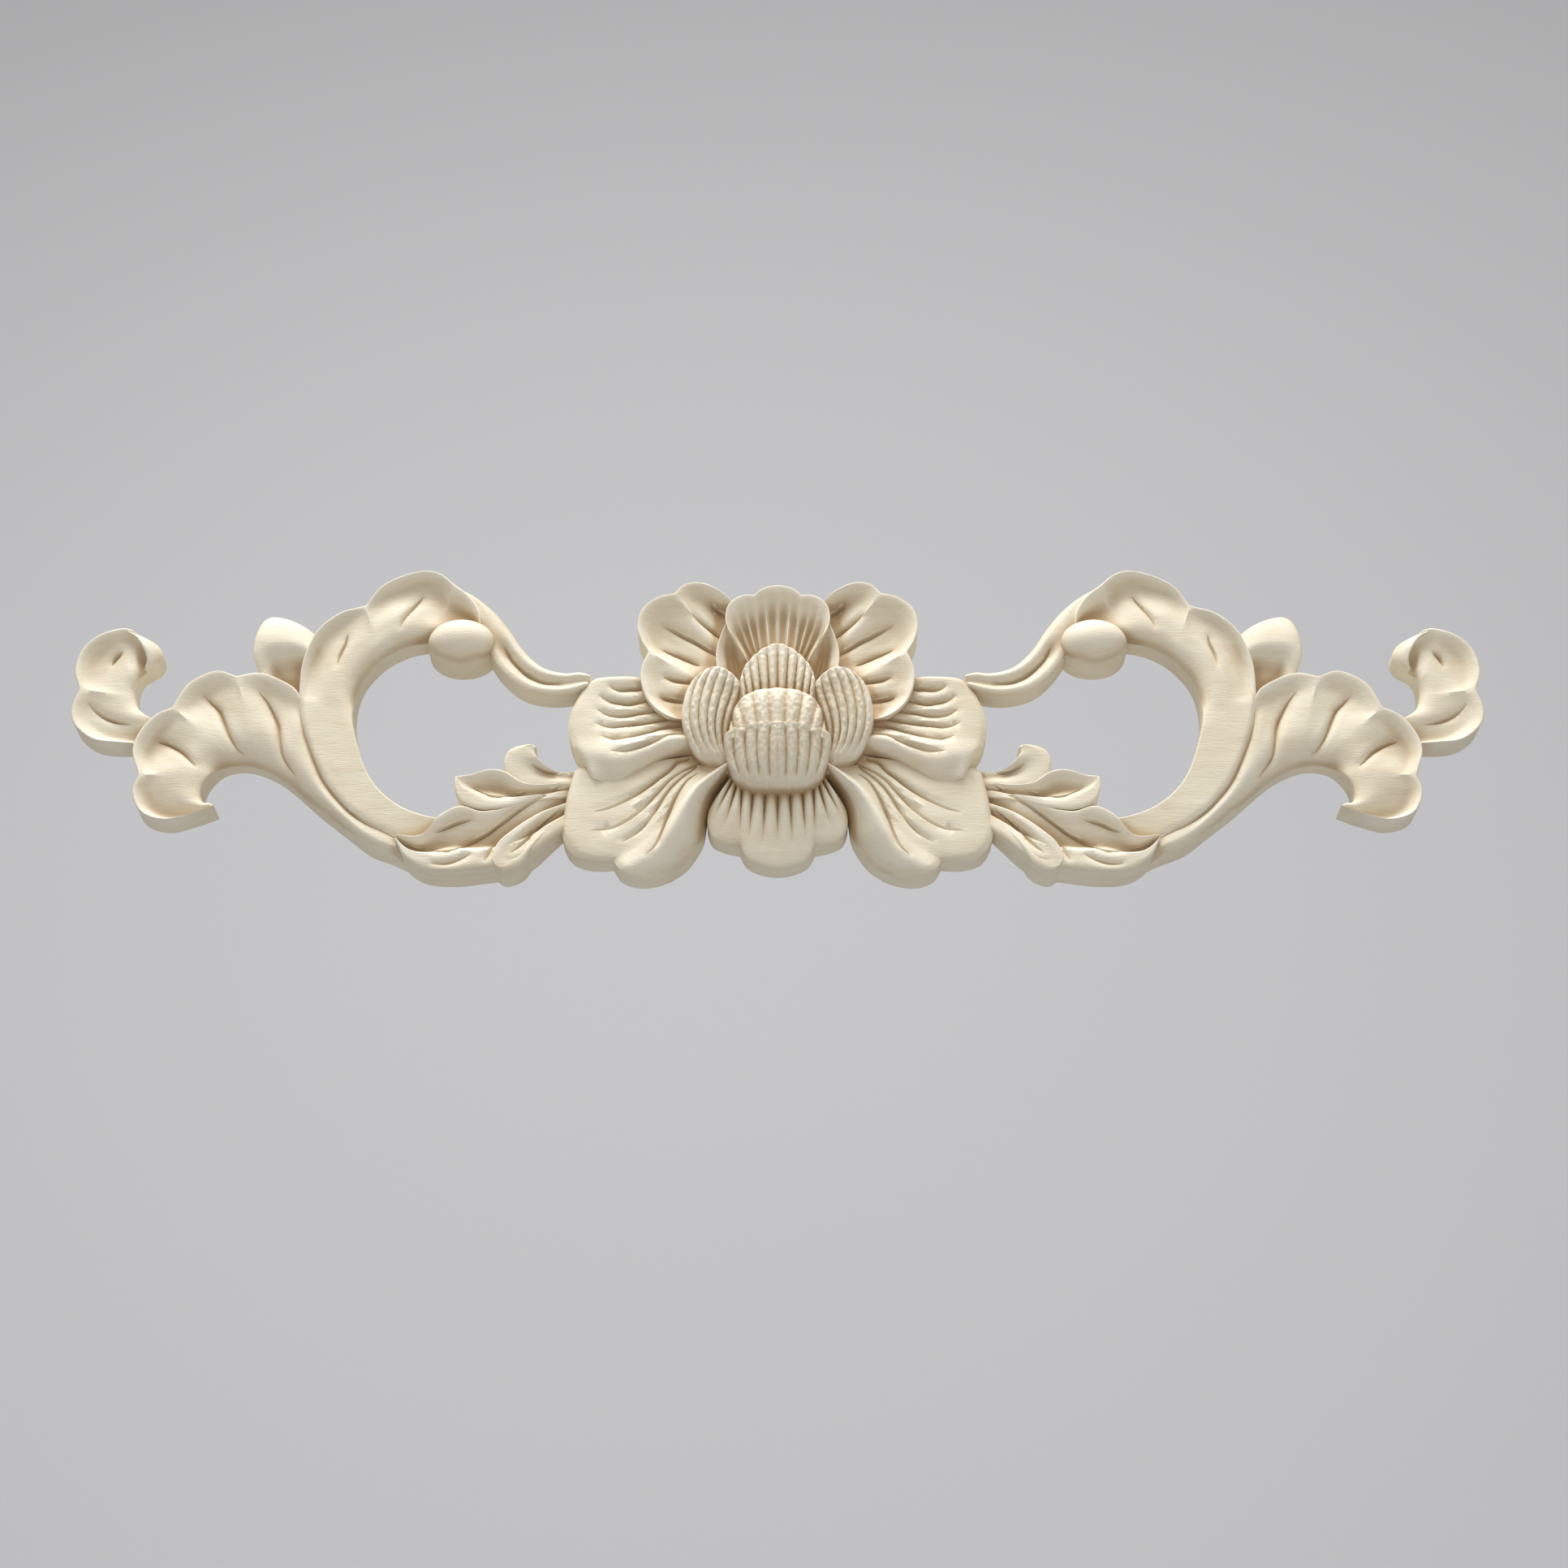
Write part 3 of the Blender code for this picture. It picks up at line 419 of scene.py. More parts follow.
def end_curl_roll(s):
    """The rolled-back tip of the end curl."""
    counts = dense(6)
    crease = rail(
        10.2, counts,
        [(-186.6, 28.2), (-183.8, 26.5), (-181.2, 22.8), (-180.2, 19.8, 9.2), (-181, 17, 7.6)])
    outer = rail(
        9.4, counts,
        [(-186.4, 29.2), (-181.2, 27.3), (-177.6, 25), (-176.2, 22.2), (-177.2, 18.8), (-180, 16.8)])
    return block(s, crease, outer, counts, rows(3), lambda lobe, v: 3.4 * roll(1 - v, 0.9))


def bract(s):
    """The blunt bract that stands between the large leaf and the C-scroll."""
    counts = dense(7)
    across = rows(4)
    left = rail(9.6, counts, [(-142, 8, 7), (-147.2, 14.6), (-149.6, 20), (-149.9, 25.1), (-149, 30)])
    right = rail(9, counts, [(-133, 7, 7), (-134.4, 15), (-133.8, 20.5), (-132.6, 24), (-131, 27.4)])
    tip = rail(
        9.6, (len(across) - 1,),
        [(-149, 30), (-147.9, 33), (-145.6, 34.4), (-141.4, 33.9), (-136.4, 31.6), (-131, 27.4, 9)])

    def carve(lobe, v):
        rolled = ramp(lobe - 0.12 * v, 0.3, 0.62)
        return (1.2 * roll(v, 0.3) + 1.4 * rolled + 4.4 * roll(1 - lobe, 0.42)
                - 2.8 * (1 - rolled) * ramp(v, 0.0, 0.35))

    return block(s, left, right, counts, across, carve, finish=tip)


def spray_leaf(s):
    """The long pointed leaf of the spray, with its valley and a lobe on each side."""
    counts = dense(6, 7)
    lower = rail(
        s.spray_rim, counts,
        [(-56, -29, 6.5), (-62.5, -36, 10.6), (-70, -43), (-78.6, -45.6)],
        [(-89.7, -46.9), (-97.9, -46.1), (-103.1, -42.6), (-106, -37.2)])
    upper = rail(
        s.spray_rim, counts,
        [(-57, -19, 6.2), (-68, -24.5, 11.8), (-77.5, -28.6)],
        [(-82.5, -29.1), (-88.2, -27.5), (-93.4, -30), (-98.8, -36.3), (-106, -36.2)])
    valley = 0.47

    def carve(lobe, v):
        return -3.4 * hump(v, 0.3, valley, 1.0) * ramp(lobe, -0.4, 0.4) + 0.8 * roll(v, 0.12)

    return block(s, lower, upper, counts, rows(5), carve)


def spray_lower_lobe(s):
    """The blunt lobe under the spray's root."""
    counts = dense(8)
    lower = rail(
        s.spray_rim, counts,
        [(-55, -29, 5.5), (-60.1, -32.2, 8.6), (-64, -35.3, 11), (-67.8, -40.5), (-70.7, -45),
         (-75.6, -46.9), (-78.2, -45.3)])
    upper = rail(
        s.spray_rim + 0.3, counts,
        [(-55, -22, 5.6), (-66, -29, 11.4), (-73.5, -35), (-77.8, -39.5), (-79.2, -44.2)])

    def carve(lobe, v):
        return -2.2 * hump(v, 0.15, 0.45, 0.85) * ramp(1 - lobe, 0.1, 0.45) + 0.8 * roll(v, 0.15)

    return block(s, lower, upper, counts, rows(5), carve)


def spray_middle_lobe(s):
    """The spray's second lobe, pointed and cupped."""
    counts = dense(8)
    lower = rail(
        s.spray_rim + 0.2, counts,
        [(-56, -22, 5.8), (-66, -25.2, 11.4), (-76, -28.2), (-83, -28.6), (-88.2, -26.4), (-90, -22.4),
         (-90, -19)])
    upper = rail(
        s.spray_rim + 0.2, counts,
        [(-56, -16, 6), (-64, -20, 10.8), (-71, -20.4), (-76.4, -17), (-80.5, -16.4), (-86, -18.1),
         (-89.9, -18.5)])

    def carve(lobe, v):
        return -2.8 * hump(v, 0.35, 0.55, 1.05) * hump(lobe, -0.3, 0.6, 1.0) + 0.5 * roll(v, 0.12)

    return block(s, lower, upper, counts, rows(6), carve)


def spray_upper_lobe(s):
    """The spray's third lobe, which curls up into a small hook."""
    counts = dense(10)
    lower = rail(
        s.spray_rim + 0.3, counts,
        [(-54, -19, 5.2), (-62, -21, 9.6), (-70, -21.2, 12.4), (-75.2, -18.4), (-76.7, -13.9),
         (-75.2, -10.3), (-71.1, -8.8), (-68.6, -8.8)])
    upper = rail(
        s.spray_rim, counts,
        [(-52, -13, 5.4), (-58.8, -15, 7.8), (-63.6, -15.2, 10.8), (-66.8, -13.2), (-68.2, -10.7),
         (-67.7, -9.4)])

    def carve(lobe, v):
        return 1.0 * roll(v, 0.3) - 0.7 * hump(v, 0.35, 0.7, 1.0) * ramp(1 - lobe, 0.2, 0.5)

    return block(s, lower, upper, counts, rows(3), carve)


def bottom_petal(s):
    """The small scalloped petal under the bud, fluted from its root."""
    counts = dense(6, 12)
    root = rail(
        10, counts,
        [(-13, -17), (-10, -19)], [(-5, -20), (0, -20), (5, -20), (10, -19)], sharp=False)
    edge = rail(
        s.bottom_edge, counts,
        [(-19.4, -27), (-19.6, -31), (-18.1, -35), (-14.1, -37), (-10.5, -37.8)],
        [(-8.8, -41), (-6, -42.9), (0, -44.2), (6, -42.9), (8.8, -41), (10.5, -37.8)])

    def carve(lobe, v):
        place = np.where(lobe < 1, lobe * 3, 3 + (lobe - 1) * 6)
        grooves = 1 - arches(place, 0.5 + 0.4 * v)
        return (1.5 * hump(v, -0.3, 0.4, 1.0) - 1.9 * grooves * (1 - ramp(v, 0.25, 0.92))
                + 0.8 * roll(1 - v, 0.2))

    return block(s, root, edge, counts, rows(5), carve)


def lower_petal(s):
    """The broad lower petal: two lobes at its tip, cuts that fan from the bud, and a rolled right edge."""
    counts = dense(9)
    across = rows(6)
    right = rail(
        s.petal_edge, counts,
        [(-9, -13, 12.8), (-14.5, -18, 12.8), (-18, -22.5, 12.8), (-19.7, -28, 12.4), (-20.6, -34, 11.6),
         (-22.4, -38, 10.8), (-25.4, -42.3, 9.8), (-29.5, -45.4)])
    left = rail(s.petal_edge, counts, [(-14, -9, 10), (-28, -11), (-42, -13), (-57, -14.5)])
    first = int(np.searchsorted(across, 0.36))
    second = int(np.searchsorted(across, 0.68)) - first
    tip = rail(
        s.petal_edge, (first, second, len(across) - 1 - first - second),
        [(-29.5, -45.4), (-33.6, -46.9), (-38.6, -47.4), (-43.4, -45.6), (-45.7, -42.1)],
        [(-51.3, -42.3), (-57.2, -40.2), (-60.2, -34), (-60, -30.4)], [(-59, -23), (-57, -14.5)])

    def carve(lobe, v):
        return (6.5 * roll(v, 0.22) + 1.6 * hump(v, 0.0, 0.2, 0.4)
                + 0.7 * roll(1 - lobe, 0.12) * ramp(v, 0.1, 0.3))

    return block(s, right, left, counts, across, carve, finish=tip)


def side_petal(s):
    """The side petal: a round tip, cuts that run in towards the bud, and a rolled lower edge."""
    counts = dense(7)
    across = rows(5)
    lower = rail(
        s.side_crest, counts,
        [(-17, -12), (-26.8, -10.5), (-32.3, -12), (-38.6, -16), (-45, -19.4), (-52.5, -17.8, 12)])
    upper = rail(
        s.leaf_rim, counts,
        [(-17, 4, 9), (-28, 9, 9), (-38.7, 13.9), (-46.9, 13.9), (-52.7, 13.2)])
    tip = rail(
        s.leaf_rim, (len(across) - 1,),
        [(-52.5, -17.8, 12), (-54.4, -12.8, 11.4), (-57.4, -8.8, 10.2), (-59.1, -3), (-58.9, 1.5),
         (-57, 6.8), (-54.8, 11), (-52.7, 13.2)])

    def carve(lobe, v):
        inner = 1 - ramp(lobe, 0.55, 0.9)
        return (5.2 * roll(v, 0.22) * (1 - 0.7 * ramp(lobe, 0.8, 1)) + 0.5 * hump(v, 0.0, 0.2, 0.4)
                + 0.8 * roll(1 - lobe, 0.1) - 1.2 * inner * ramp(v, 0.2, 0.4))

    return block(s, lower, upper, counts, across, carve, finish=tip)


def upper_petal(s):
    """The upper petal: three scalloped lobes around a bowl, cut by lines that run in to the bud."""
    counts = dense(7, 7, 8)
    root = rail(
        10.2, counts,
        [(-10.5, 24, 7.4), (-13, 19, 7.2)], [(-15.5, 15, 7.6), (-17.5, 10, 8.8)], [(-18, 4), (-16, -3)],
        sharp=False)
    rim = rail(
        s.upper_rim, counts,
        [(-12, 35.5), (-14.7, 39.2), (-18.5, 42.1), (-23.4, 43.7), (-27.2, 42.8), (-29.8, 40)],
        [(-34.2, 39), (-38.6, 35.6), (-40.2, 30.5), (-39.3, 25.4), (-37, 21.2)],
        [(-38.9, 15.5), (-38.6, 10.5), (-36.6, 5.6), (-31.8, 0.9, 12), (-24, -1.6, 12)])

    def carve(lobe, v):
        scallop = scalloped(lobe, v)
        return -3.1 * scallop * hump(v, 0.05, 0.72, 1.0) * (1 - 0.45 * ramp(lobe, 1.9, 2.4))

    return block(s, root, rim, counts, rows(4), carve)


def hood(s):
    """The fluted petal that stands behind the bud."""
    counts = dense(5, 7, 14)
    root = rail(11, counts, [(-6.8, 14.5), (-6.2, 17.2)], [(-4.5, 19)], [(0, 20), (4.5, 19)], sharp=False)
    rim = rail(
        s.hood_rim, counts,
        [(-14.4, 27.4), (-15, 31), (-14.3, 34.5), (-13.1, 36.2)], [(-11.2, 37.5), (-9, 38.1), (-6.8, 38)],
        [(-4.4, 40.1), (0, 41.1), (4.4, 40.1), (6.8, 38)])

    def carve(lobe, v):
        place = np.where(lobe < 2, lobe * 2, 4 + (lobe - 2) * 4)
        ridges = 1 - arches(place, 1)
        return (-3.6 * hump(v, -0.3, 0.55, 1.0) * (0.15 + 0.85 * ramp(lobe, 0, 0.4))
                + 2.0 * ridges * hump(v, -0.2, 0.4, 0.97))

    return block(s, root, rim, counts, rows(5), carve)


def hood_ear(s):
    """The hollow ear that turns out from the hood's side."""
    counts = dense(10)
    fold = rail(11.4, counts, [(-5.4, 9.5, 10.4), (-7.6, 17, 10.8), (-11, 24), (-14.2, 28.9, 12.9)])
    rim = rail(
        s.hood_rim - 0.6, counts,
        [(-12.4, 9.2, 12), (-16.2, 12.6, 12.8), (-17.5, 17.4), (-17.3, 21.6), (-16.4, 25), (-14.9, 29.2)])

    def carve(lobe, v):
        flutes = 1 - arches(v * 4, 1)
        return (-3.9 * hump(v, -0.05, 0.5, 1.0) * (1 - 0.8 * ramp(lobe, 0.6, 1.0))
                + 1.0 * flutes * hump(v, 0.0, 0.5, 0.95) * (1 - ramp(lobe, 0.3, 0.75)))

    return block(s, fold, rim, counts, rows(4), carve)


def rear_bud_petal(s):
    """The pointed fluted petal at the back of the bud."""
    counts = dense(20)
    foot = rail(16, counts, both_sides((-10, 0), (-5, 0), (0, 0)))
    rim = rail(17, counts, both_sides((-10.6, 9.5), (-9.4, 13.4), (-6.2, 17.6), (-3.2, 19.9), (0, 20.9)))

    def carve(lobe, v):
        flute = 1 - arches(lobe * 10, 0.7)
        return 0.8 * hump(v, -0.5, 0.5, 1.2) - 1.2 * s.rib_depth * flute * (1 - 0.5 * ramp(v, 0.85, 1.0))

    return block(s, foot, rim, counts, rows(7), carve, chips=s.chips)


def side_bud_petal(s):
    """The ribbed petal that wraps the bud's side."""
    counts = dense(12)
    ribs = 7
    across = np.linspace(0, 1, 10 * ribs + 1)
    left = rail(
        17, counts,
        [(-22.4, 12, 17), (-25.3, 8.6, 16.6), (-26.8, 3.4, 16.4), (-27, -2, 16), (-25.4, -8, 15.4),
         (-22.4, -12.8, 14), (-17.4, -16.8, 12.6)])
    right = rail(16, counts, [(-9.2, 6.6, 17), (-9.1, 2), (-10.8, -3), (-12, -8, 15), (-10.5, -17.5, 12)])
    top_edge = rail(
        17.4, (len(across) - 1,),
        [(-22.4, 12, 17), (-20.4, 13), (-17, 13.2), (-13.8, 11.8), (-11, 9.2), (-9.2, 6.6, 17)])

    def carve(lobe, v):
        rib = arches(v * ribs, 0.8)
        return (2.4 * roll(v, 0.35) + 1.6 * hump(v, 0.05, 0.45, 1.0) * (1 - lobe * 0.4)
                - s.rib_depth * (1 - rib) * (1 - ramp(lobe, 0.6, 0.85)) * ramp(lobe, -0.05, 0.1)
                + 0.8 * roll(lobe, 0.12) - 2.0 * ramp(lobe, 0.8, 1.0))

    return block(s, left, right, counts, across, carve, start=top_edge, chips=s.chips)


def bud_crown(s):
    """The ribbed crown of the bud."""
    counts = dense(24)
    ribs = 9
    foot = rail(s.bud_top - 3.5, counts, both_sides((-14, -10, 13.2), (-7.4, -9.4, 17), (0, -9.2)))
    top_edge = rail(
        s.bud_top - 2.6, counts,
        both_sides((-14, -7, 13.8), (-13, -1.6, 15), (-11, 2.6, 16.4), (-6.6, 5.0, 18), (0, 5.8)))

    def carve(lobe, v):
        rib = arches(lobe * ribs, 0.8)
        return (2.9 * ramp(v, 0, 0.2) + 2.6 * roll(1 - v, 0.6)
                - s.rib_depth * (1 - rib) * (1 - 0.6 * ramp(v, 0.85, 1.0)))

    return block(s, foot, top_edge, counts, rows(7), carve, chips=s.chips)


def bud_cup(s):
    """The ribbed cup in front of the bud, on its smooth collar."""
    ribs = 9
    counts = dense(3 * ribs)
    across = rows(8)
    collar = rail(9.8, counts, both_sides((-11, -21.3), (-7, -23), (0, -23.5)))
    rim = rail(
        s.bud_top, counts,
        both_sides((-14.8, -7.4, 16.8), (-12.4, -5.8, 17.8), (-9.6, -5.4, 19), (-5, -5.4, 20.6), (0, -5.4)))
    left_side = rail(
        12, (len(across) - 1,),
        [(-11, -21.3, 9.8), (-13, -18.4), (-14.9, -13.6, 14), (-15.2, -10, 16), (-14.8, -7.4, 16.8)])

    def carve(lobe, v):
        middle = np.sin(np.pi * lobe) ** 0.5
        rib = arches(lobe * ribs, 0.8)
        dome = np.sqrt(1 - (1 - v) ** 2) - v
        grooves = s.rib_depth * (1 - rib) * ramp(v, 0.08, 0.3) * (1 - 0.7 * ramp(v, 0.92, 1.0))
        return middle * 9.5 * dome - grooves

    return block(s, collar, rim, counts, across, carve, start=left_side, chips=s.chips)


def spray_root(s):
    """The wood between the spray and the scroll, where they grow together."""
    return knob((-80.8, -28.6), (6.6, 2.2), [(0, 9), (1, 9)], 32)


def flower_heart(s):
    """The wood under the petals, where they all meet."""
    return knob((0, 2), (36, 35.7), [(0, 8), (0.66, 8), (0.7, 4.8), (1, 4.8)], 64)


# Chisel strokes of each part: the height of the plane they were drawn on, how bold they are, and their paths.
END_CURL_STROKES = (10, 1.0, [
    [(-195.5, 5.5), (-193.3, 3.1), (-190.7, 1.1), (-187.2, -0.4), (-182.4, -1.4)],
    [(-189.8, 17.3), (-188.9, 19.4), (-187, 21.8)],
])
LARGE_LEAF_STROKES = (10, 1.1, [
    [(-174.8, -6.7), (-171.5, -7.6), (-168.9, -8.9), (-166.7, -10.6), (-164.5, -13), (-163, -14.3)],
    [(-162.8, 7.9), (-160.6, 5.5), (-158, 2.9), (-156.4, -0.6), (-154.9, -4.1), (-153.2, -7.2),
     (-151.4, -9.6), (-149.7, -10.6)],
    [(-147.6, 9.3), (-145.1, 6.3), (-142.9, 2.5), (-141, -2), (-140.2, -6.9), (-139.3, -10.8),
     (-137.4, -14.1), (-134.4, -18.2)],
])
SCROLL_STROKES = (10, 0.9, [
    [(-125.5, 16.8), (-125, 20.6), (-123.6, 24.5), (-123.1, 27.3)],
    [(-108.5, 29.1), (-107.3, 32.4), (-104.9, 35.8), (-101.8, 39.6)],
    [(-135.7, 7.4), (-135.2, 3), (-134.4, -1.4), (-133.3, -5.3), (-131.6, -9.7), (-129.7, -14.1),
     (-127.5, -18.5), (-124.7, -22.4), (-121.4, -26.2), (-118.1, -29.2), (-114.2, -32), (-110.4, -33.9),
     (-106.8, -35.9)],
])
STEM_STROKES = (11, 1.1, [
    [(-78.1, 23), (-76.5, 19.6), (-74.1, 16.6), (-71.2, 13.9), (-67.9, 12), (-65.1, 11.3), (-60.8, 11.1)],
])
SPRAY_STROKES = (12, 1.0, [
    [(-95.6, -35.4), (-92.7, -34.4), (-89.7, -32.9), (-86.7, -32), (-84.5, -31.6)],
    [(-96, -44.5), (-92.7, -44.6), (-89.7, -44), (-87.1, -42.9), (-84.5, -41.6)],
    [(-81.1, -44), (-79.7, -41.4), (-77.8, -38.5)],
    [(-74.1, -41.8), (-71.1, -39.2), (-68.1, -35.9), (-65.5, -32.9), (-62.6, -29.9), (-60, -28.1)],
    [(-85.2, -21.6), (-83, -22.9), (-80.4, -23.9), (-77.4, -24.3), (-74.5, -24.4), (-71.9, -24),
     (-69.6, -23)],
    [(-104.6, -37.5), (-102.7, -39.2), (-100.1, -40.3), (-97.1, -40.8), (-93.4, -41), (-90.1, -40.6),
     (-86.7, -39.5), (-83.7, -37.9), (-80.8, -36.1), (-77.8, -33.6), (-74.8, -31.2), (-71.9, -28.8),
     (-68.9, -26.6), (-65.9, -24.7), (-62.6, -22.7), (-58.8, -20.8)],
    [(-69.2, -14.3), (-67.4, -15.6), (-65.2, -16.6), (-62.2, -17), (-59.2, -16.7), (-57, -16.3)],
])
UPPER_PETAL_STROKES = (11, 1.4, [
    [(-19.5, 36.5), (-17.9, 34.9), (-15.5, 33.1)],
    [(-25, 33.9), (-22.7, 31.7), (-19.9, 28.9), (-16.7, 25.9)],
    [(-33.4, 29.9), (-30.2, 28.1), (-27, 26.3), (-23.8, 24.6), (-20.7, 22.4), (-18.3, 20.6)],
    [(-33, 22), (-29.8, 20.4), (-26.2, 18.8), (-21.9, 16.6)],
    [(-32.6, 13.4), (-29.4, 12.4), (-25.4, 11.6)],
    [(-33.4, 6.7), (-30.2, 6.1), (-27, 5.5)],
])
SIDE_PETAL_STROKES = (10, 1.6, [
    [(-47.9, 10.8), (-45, 9.9), (-39, 10)],
    [(-50.5, 7.7), (-47.1, 6.2), (-42.8, 5.5), (-38.2, 6)],
    [(-51.3, 3.8), (-48.3, 2.2), (-44.1, 1.7), (-39.5, 2.4), (-35.7, 2.8)],
    [(-51.7, -0.6), (-48.3, -1.6), (-42.8, -1.4), (-37.8, -0.6), (-31.9, 0.3)],
    [(-50, -4.6), (-45.8, -5.5), (-41.2, -4.8), (-36.5, -3.6), (-31.9, -2.1), (-27.2, -1.7)],
    [(-47.5, -9.3), (-42.8, -9.1), (-38.6, -7.8), (-34.4, -5.7), (-30.2, -4.2), (-26.8, -4.2)],
])
LOWER_PETAL_STROKES = (10, 1.35, [
    [(-25.9, -12.4), (-28, -12.9), (-30.2, -15.2), (-33.1, -17.7), (-36.5, -20.5), (-40.3, -23.2),
     (-45, -26), (-48.3, -27.5), (-51.7, -28.3)],
    [(-24, -14.3), (-26.8, -15.6), (-30.2, -18.1), (-32.7, -21.1), (-35.2, -24.1), (-38.6, -27.9),
     (-42, -30.8), (-46.2, -33), (-52.2, -34)],
    [(-23.4, -14.8), (-26.8, -17.3), (-29.7, -20.3), (-31.9, -23.6), (-34, -27.5), (-36.1, -30.8),
     (-38.6, -33.8), (-41.6, -36.3), (-43.3, -37.4)],
    [(-22.1, -16.2), (-25.1, -18.1), (-27.2, -21.1), (-28.9, -24.5), (-30.2, -28.3), (-31.4, -31.7),
     (-32.7, -35.5), (-34.4, -38.9), (-36.9, -41.4)],
])
STROKES = (END_CURL_STROKES, LARGE_LEAF_STROKES, SCROLL_STROKES, STEM_STROKES, SPRAY_STROKES,
           UPPER_PETAL_STROKES, SIDE_PETAL_STROKES, LOWER_PETAL_STROKES)

BRANCH = (scroll_band, scroll_eye, scroll_stem, large_leaf, end_curl, end_curl_roll, bract, spray_leaf,
          spray_lower_lobe, spray_middle_lobe, spray_upper_lobe, spray_root)
FLOWER = (flower_heart, lower_petal, side_petal, upper_petal, bottom_petal, hood_ear, hood,
          rear_bud_petal, side_bud_petal, bud_crown, bud_cup)


def as_object(mesh, name):
    """Puts a mesh in the scene as an object."""
    data = bpy.data.meshes.new(name)
    mesh.to_mesh(data)
    mesh.free()
    made = bpy.data.objects.new(name, data)
    bpy.context.scene.collection.objects.link(made)
    return made


def combine(base, other, operation):
    """Joins the other object to the base, or cuts it out of the base."""
    boolean_name = other.name
    boolean = base.modifiers.new(boolean_name, "BOOLEAN")
    boolean.operation = operation
    boolean.solver = "MANIFOLD"
    boolean.object = other
    before = len(base.data.vertices)
    result = bmesh.new()
    result.from_object(base, bpy.context.evaluated_depsgraph_get())
    base.modifiers.clear()
    result.to_mesh(base.data)
    result.free()
    bpy.data.meshes.remove(other.data)
    if len(base.data.vertices) == before:
        raise RuntimeError(f"the {operation.lower()} with {boolean_name} changed nothing")


def carve_blocks(makers, name, first_place):
    """Makes the blocks of a group and joins them."""
    settings = bpy.context.scene.applique_carving
    base = None
    for place, make in enumerate(makers):
        mesh = make(settings)
        for vert in mesh.verts:
            if vert.co.z < 0:
                vert.co.z -= (first_place + place) * STAGGER
        other = as_object(mesh, make.__name__)
        if base is None:
            base = other
            base.name = name
        else:
            combine(base, other, "UNION")
    return base


def hit_below(tree, x, y):
    """Where a ray straight down meets the carving."""
    return tree.ray_cast((x, y, RAY_START), (0, 0, -1))[0]


def on_surface(tree, path, plane):
    """Moves a path that was read on a plane to where the camera's rays meet the carving."""
    placed = []
    for x, y in path:
        z = plane
        for _ in range(3):
            lift = z - plane
            there = (x * (1 - lift / VIEW_HEIGHT), y - lift * (y + VIEW_DROP) / VIEW_HEIGHT)
            hit = hit_below(tree, *there)
            if hit is None:
                break
            z = hit.z
        placed.append((there[0], there[1], z))
    return evenly(spline(placed, 16), max(6, round(len(path) * 3)))


def run_on(tree, path):
    """Lets a stroke that ends close to a higher block run on under it."""
    step = 1.1  # a rise that counts as a higher block
    for _ in range(2):
        path = path[::-1]
        ahead = path[-1] - path[-2]
        ahead /= np.hypot(ahead[0], ahead[1])
        height = path[-1, 2]
        for reach in (0.6, 1.2, 1.8, 2.4, 3.0):
            x, y, z = path[-1] + ahead * reach
            hit = hit_below(tree, x, y)
            if hit is None:
                break
            if hit.z > height + step:
                path = np.vstack([path, [(x, y, height)], [path[-1] + ahead * (reach + 1.5)]])
                break
            height = hit.z
    return path


def follow(tree, path):
    """Lays each point of a path on the surface below it; where a step rises, the path runs on under it."""
    step = 1.3  # a change of height that counts as a step
    middle = len(path) // 2
    laid = np.array(path)
    for points in (range(middle, len(path)), range(middle, -1, -1)):
        height = None
        for k in points:
            hit = hit_below(tree, path[k, 0], path[k, 1])
            if hit is not None and (height is None or abs(hit.z - height) < step):
                height = hit.z
            laid[k, 2] = path[k, 2] if height is None else height
    for _ in range(2):
        laid[1:-1, 2] = (laid[:-2, 2] + 2 * laid[1:-1, 2] + laid[2:, 2]) / 4
    return laid


def taper(path):
    """The share of full depth along a stroke: nothing at its ends."""
    t = np.linspace(0, 1, len(path))
    return np.sqrt(np.sin(np.pi * np.clip(t, 0.0001, 0.9999)))


def chisel(path, depth):
    """A V-shaped sliver that cuts one stroke along the path."""
    mesh = bmesh.new()
    bmesh.ops.create_cone(mesh, cap_ends=True, segments=3, radius1=1, radius2=1, depth=2)
    lengthwise = [edge for edge in mesh.edges if edge.verts[0].co.z * edge.verts[1].co.z < 0]
    bmesh.ops.subdivide_edges(mesh, edges=lengthwise, cuts=len(path) - 2)
    along = np.gradient(path[:, :2], axis=0)
    sideways = np.stack([-along[:, 1], along[:, 0]], axis=1) / np.linalg.norm(along, axis=1)[:, None]
    depths = depth * taper(path) + 0.02
    lift = 0.35  # how far the sliver stands above the wood
    slope = 0.8  # half its width for each millimetre of its height
    for vert in mesh.verts:
        k = round((vert.co.z + 1) / 2 * (len(path) - 1))
        corner = round(math.atan2(vert.co.y, vert.co.x) / (2 * math.pi / 3)) % 3
        if corner == 1:
            vert.co = (path[k, 0], path[k, 1], path[k, 2] - depths[k])
        else:
            out = sideways[k] * (slope * (depths[k] + lift) * (1 if corner == 0 else -1))
            vert.co = (path[k, 0] + out[0], path[k, 1] + out[1], path[k, 2] + lift)
    if mesh.calc_volume(signed=True) < 0:
        bmesh.ops.reverse_faces(mesh, faces=mesh.faces)
    return mesh


def soften(points, path, depth, width):
    """Sinks the points near a path into a soft valley, except those that are much higher or lower."""
    step = 1.6  # points further than this from the path's height stay
    sunk = np.zeros(len(points))
    for (x, y, z), strength in zip(path, taper(path)):
        gap = np.hypot(points[:, 0] - x, points[:, 1] - y)
        same = np.abs(points[:, 2] - z) < step
        sunk = np.maximum(sunk, same * strength * np.exp(-(gap / (width / 2)) ** 2))
    points[:, 2] -= depth * sunk


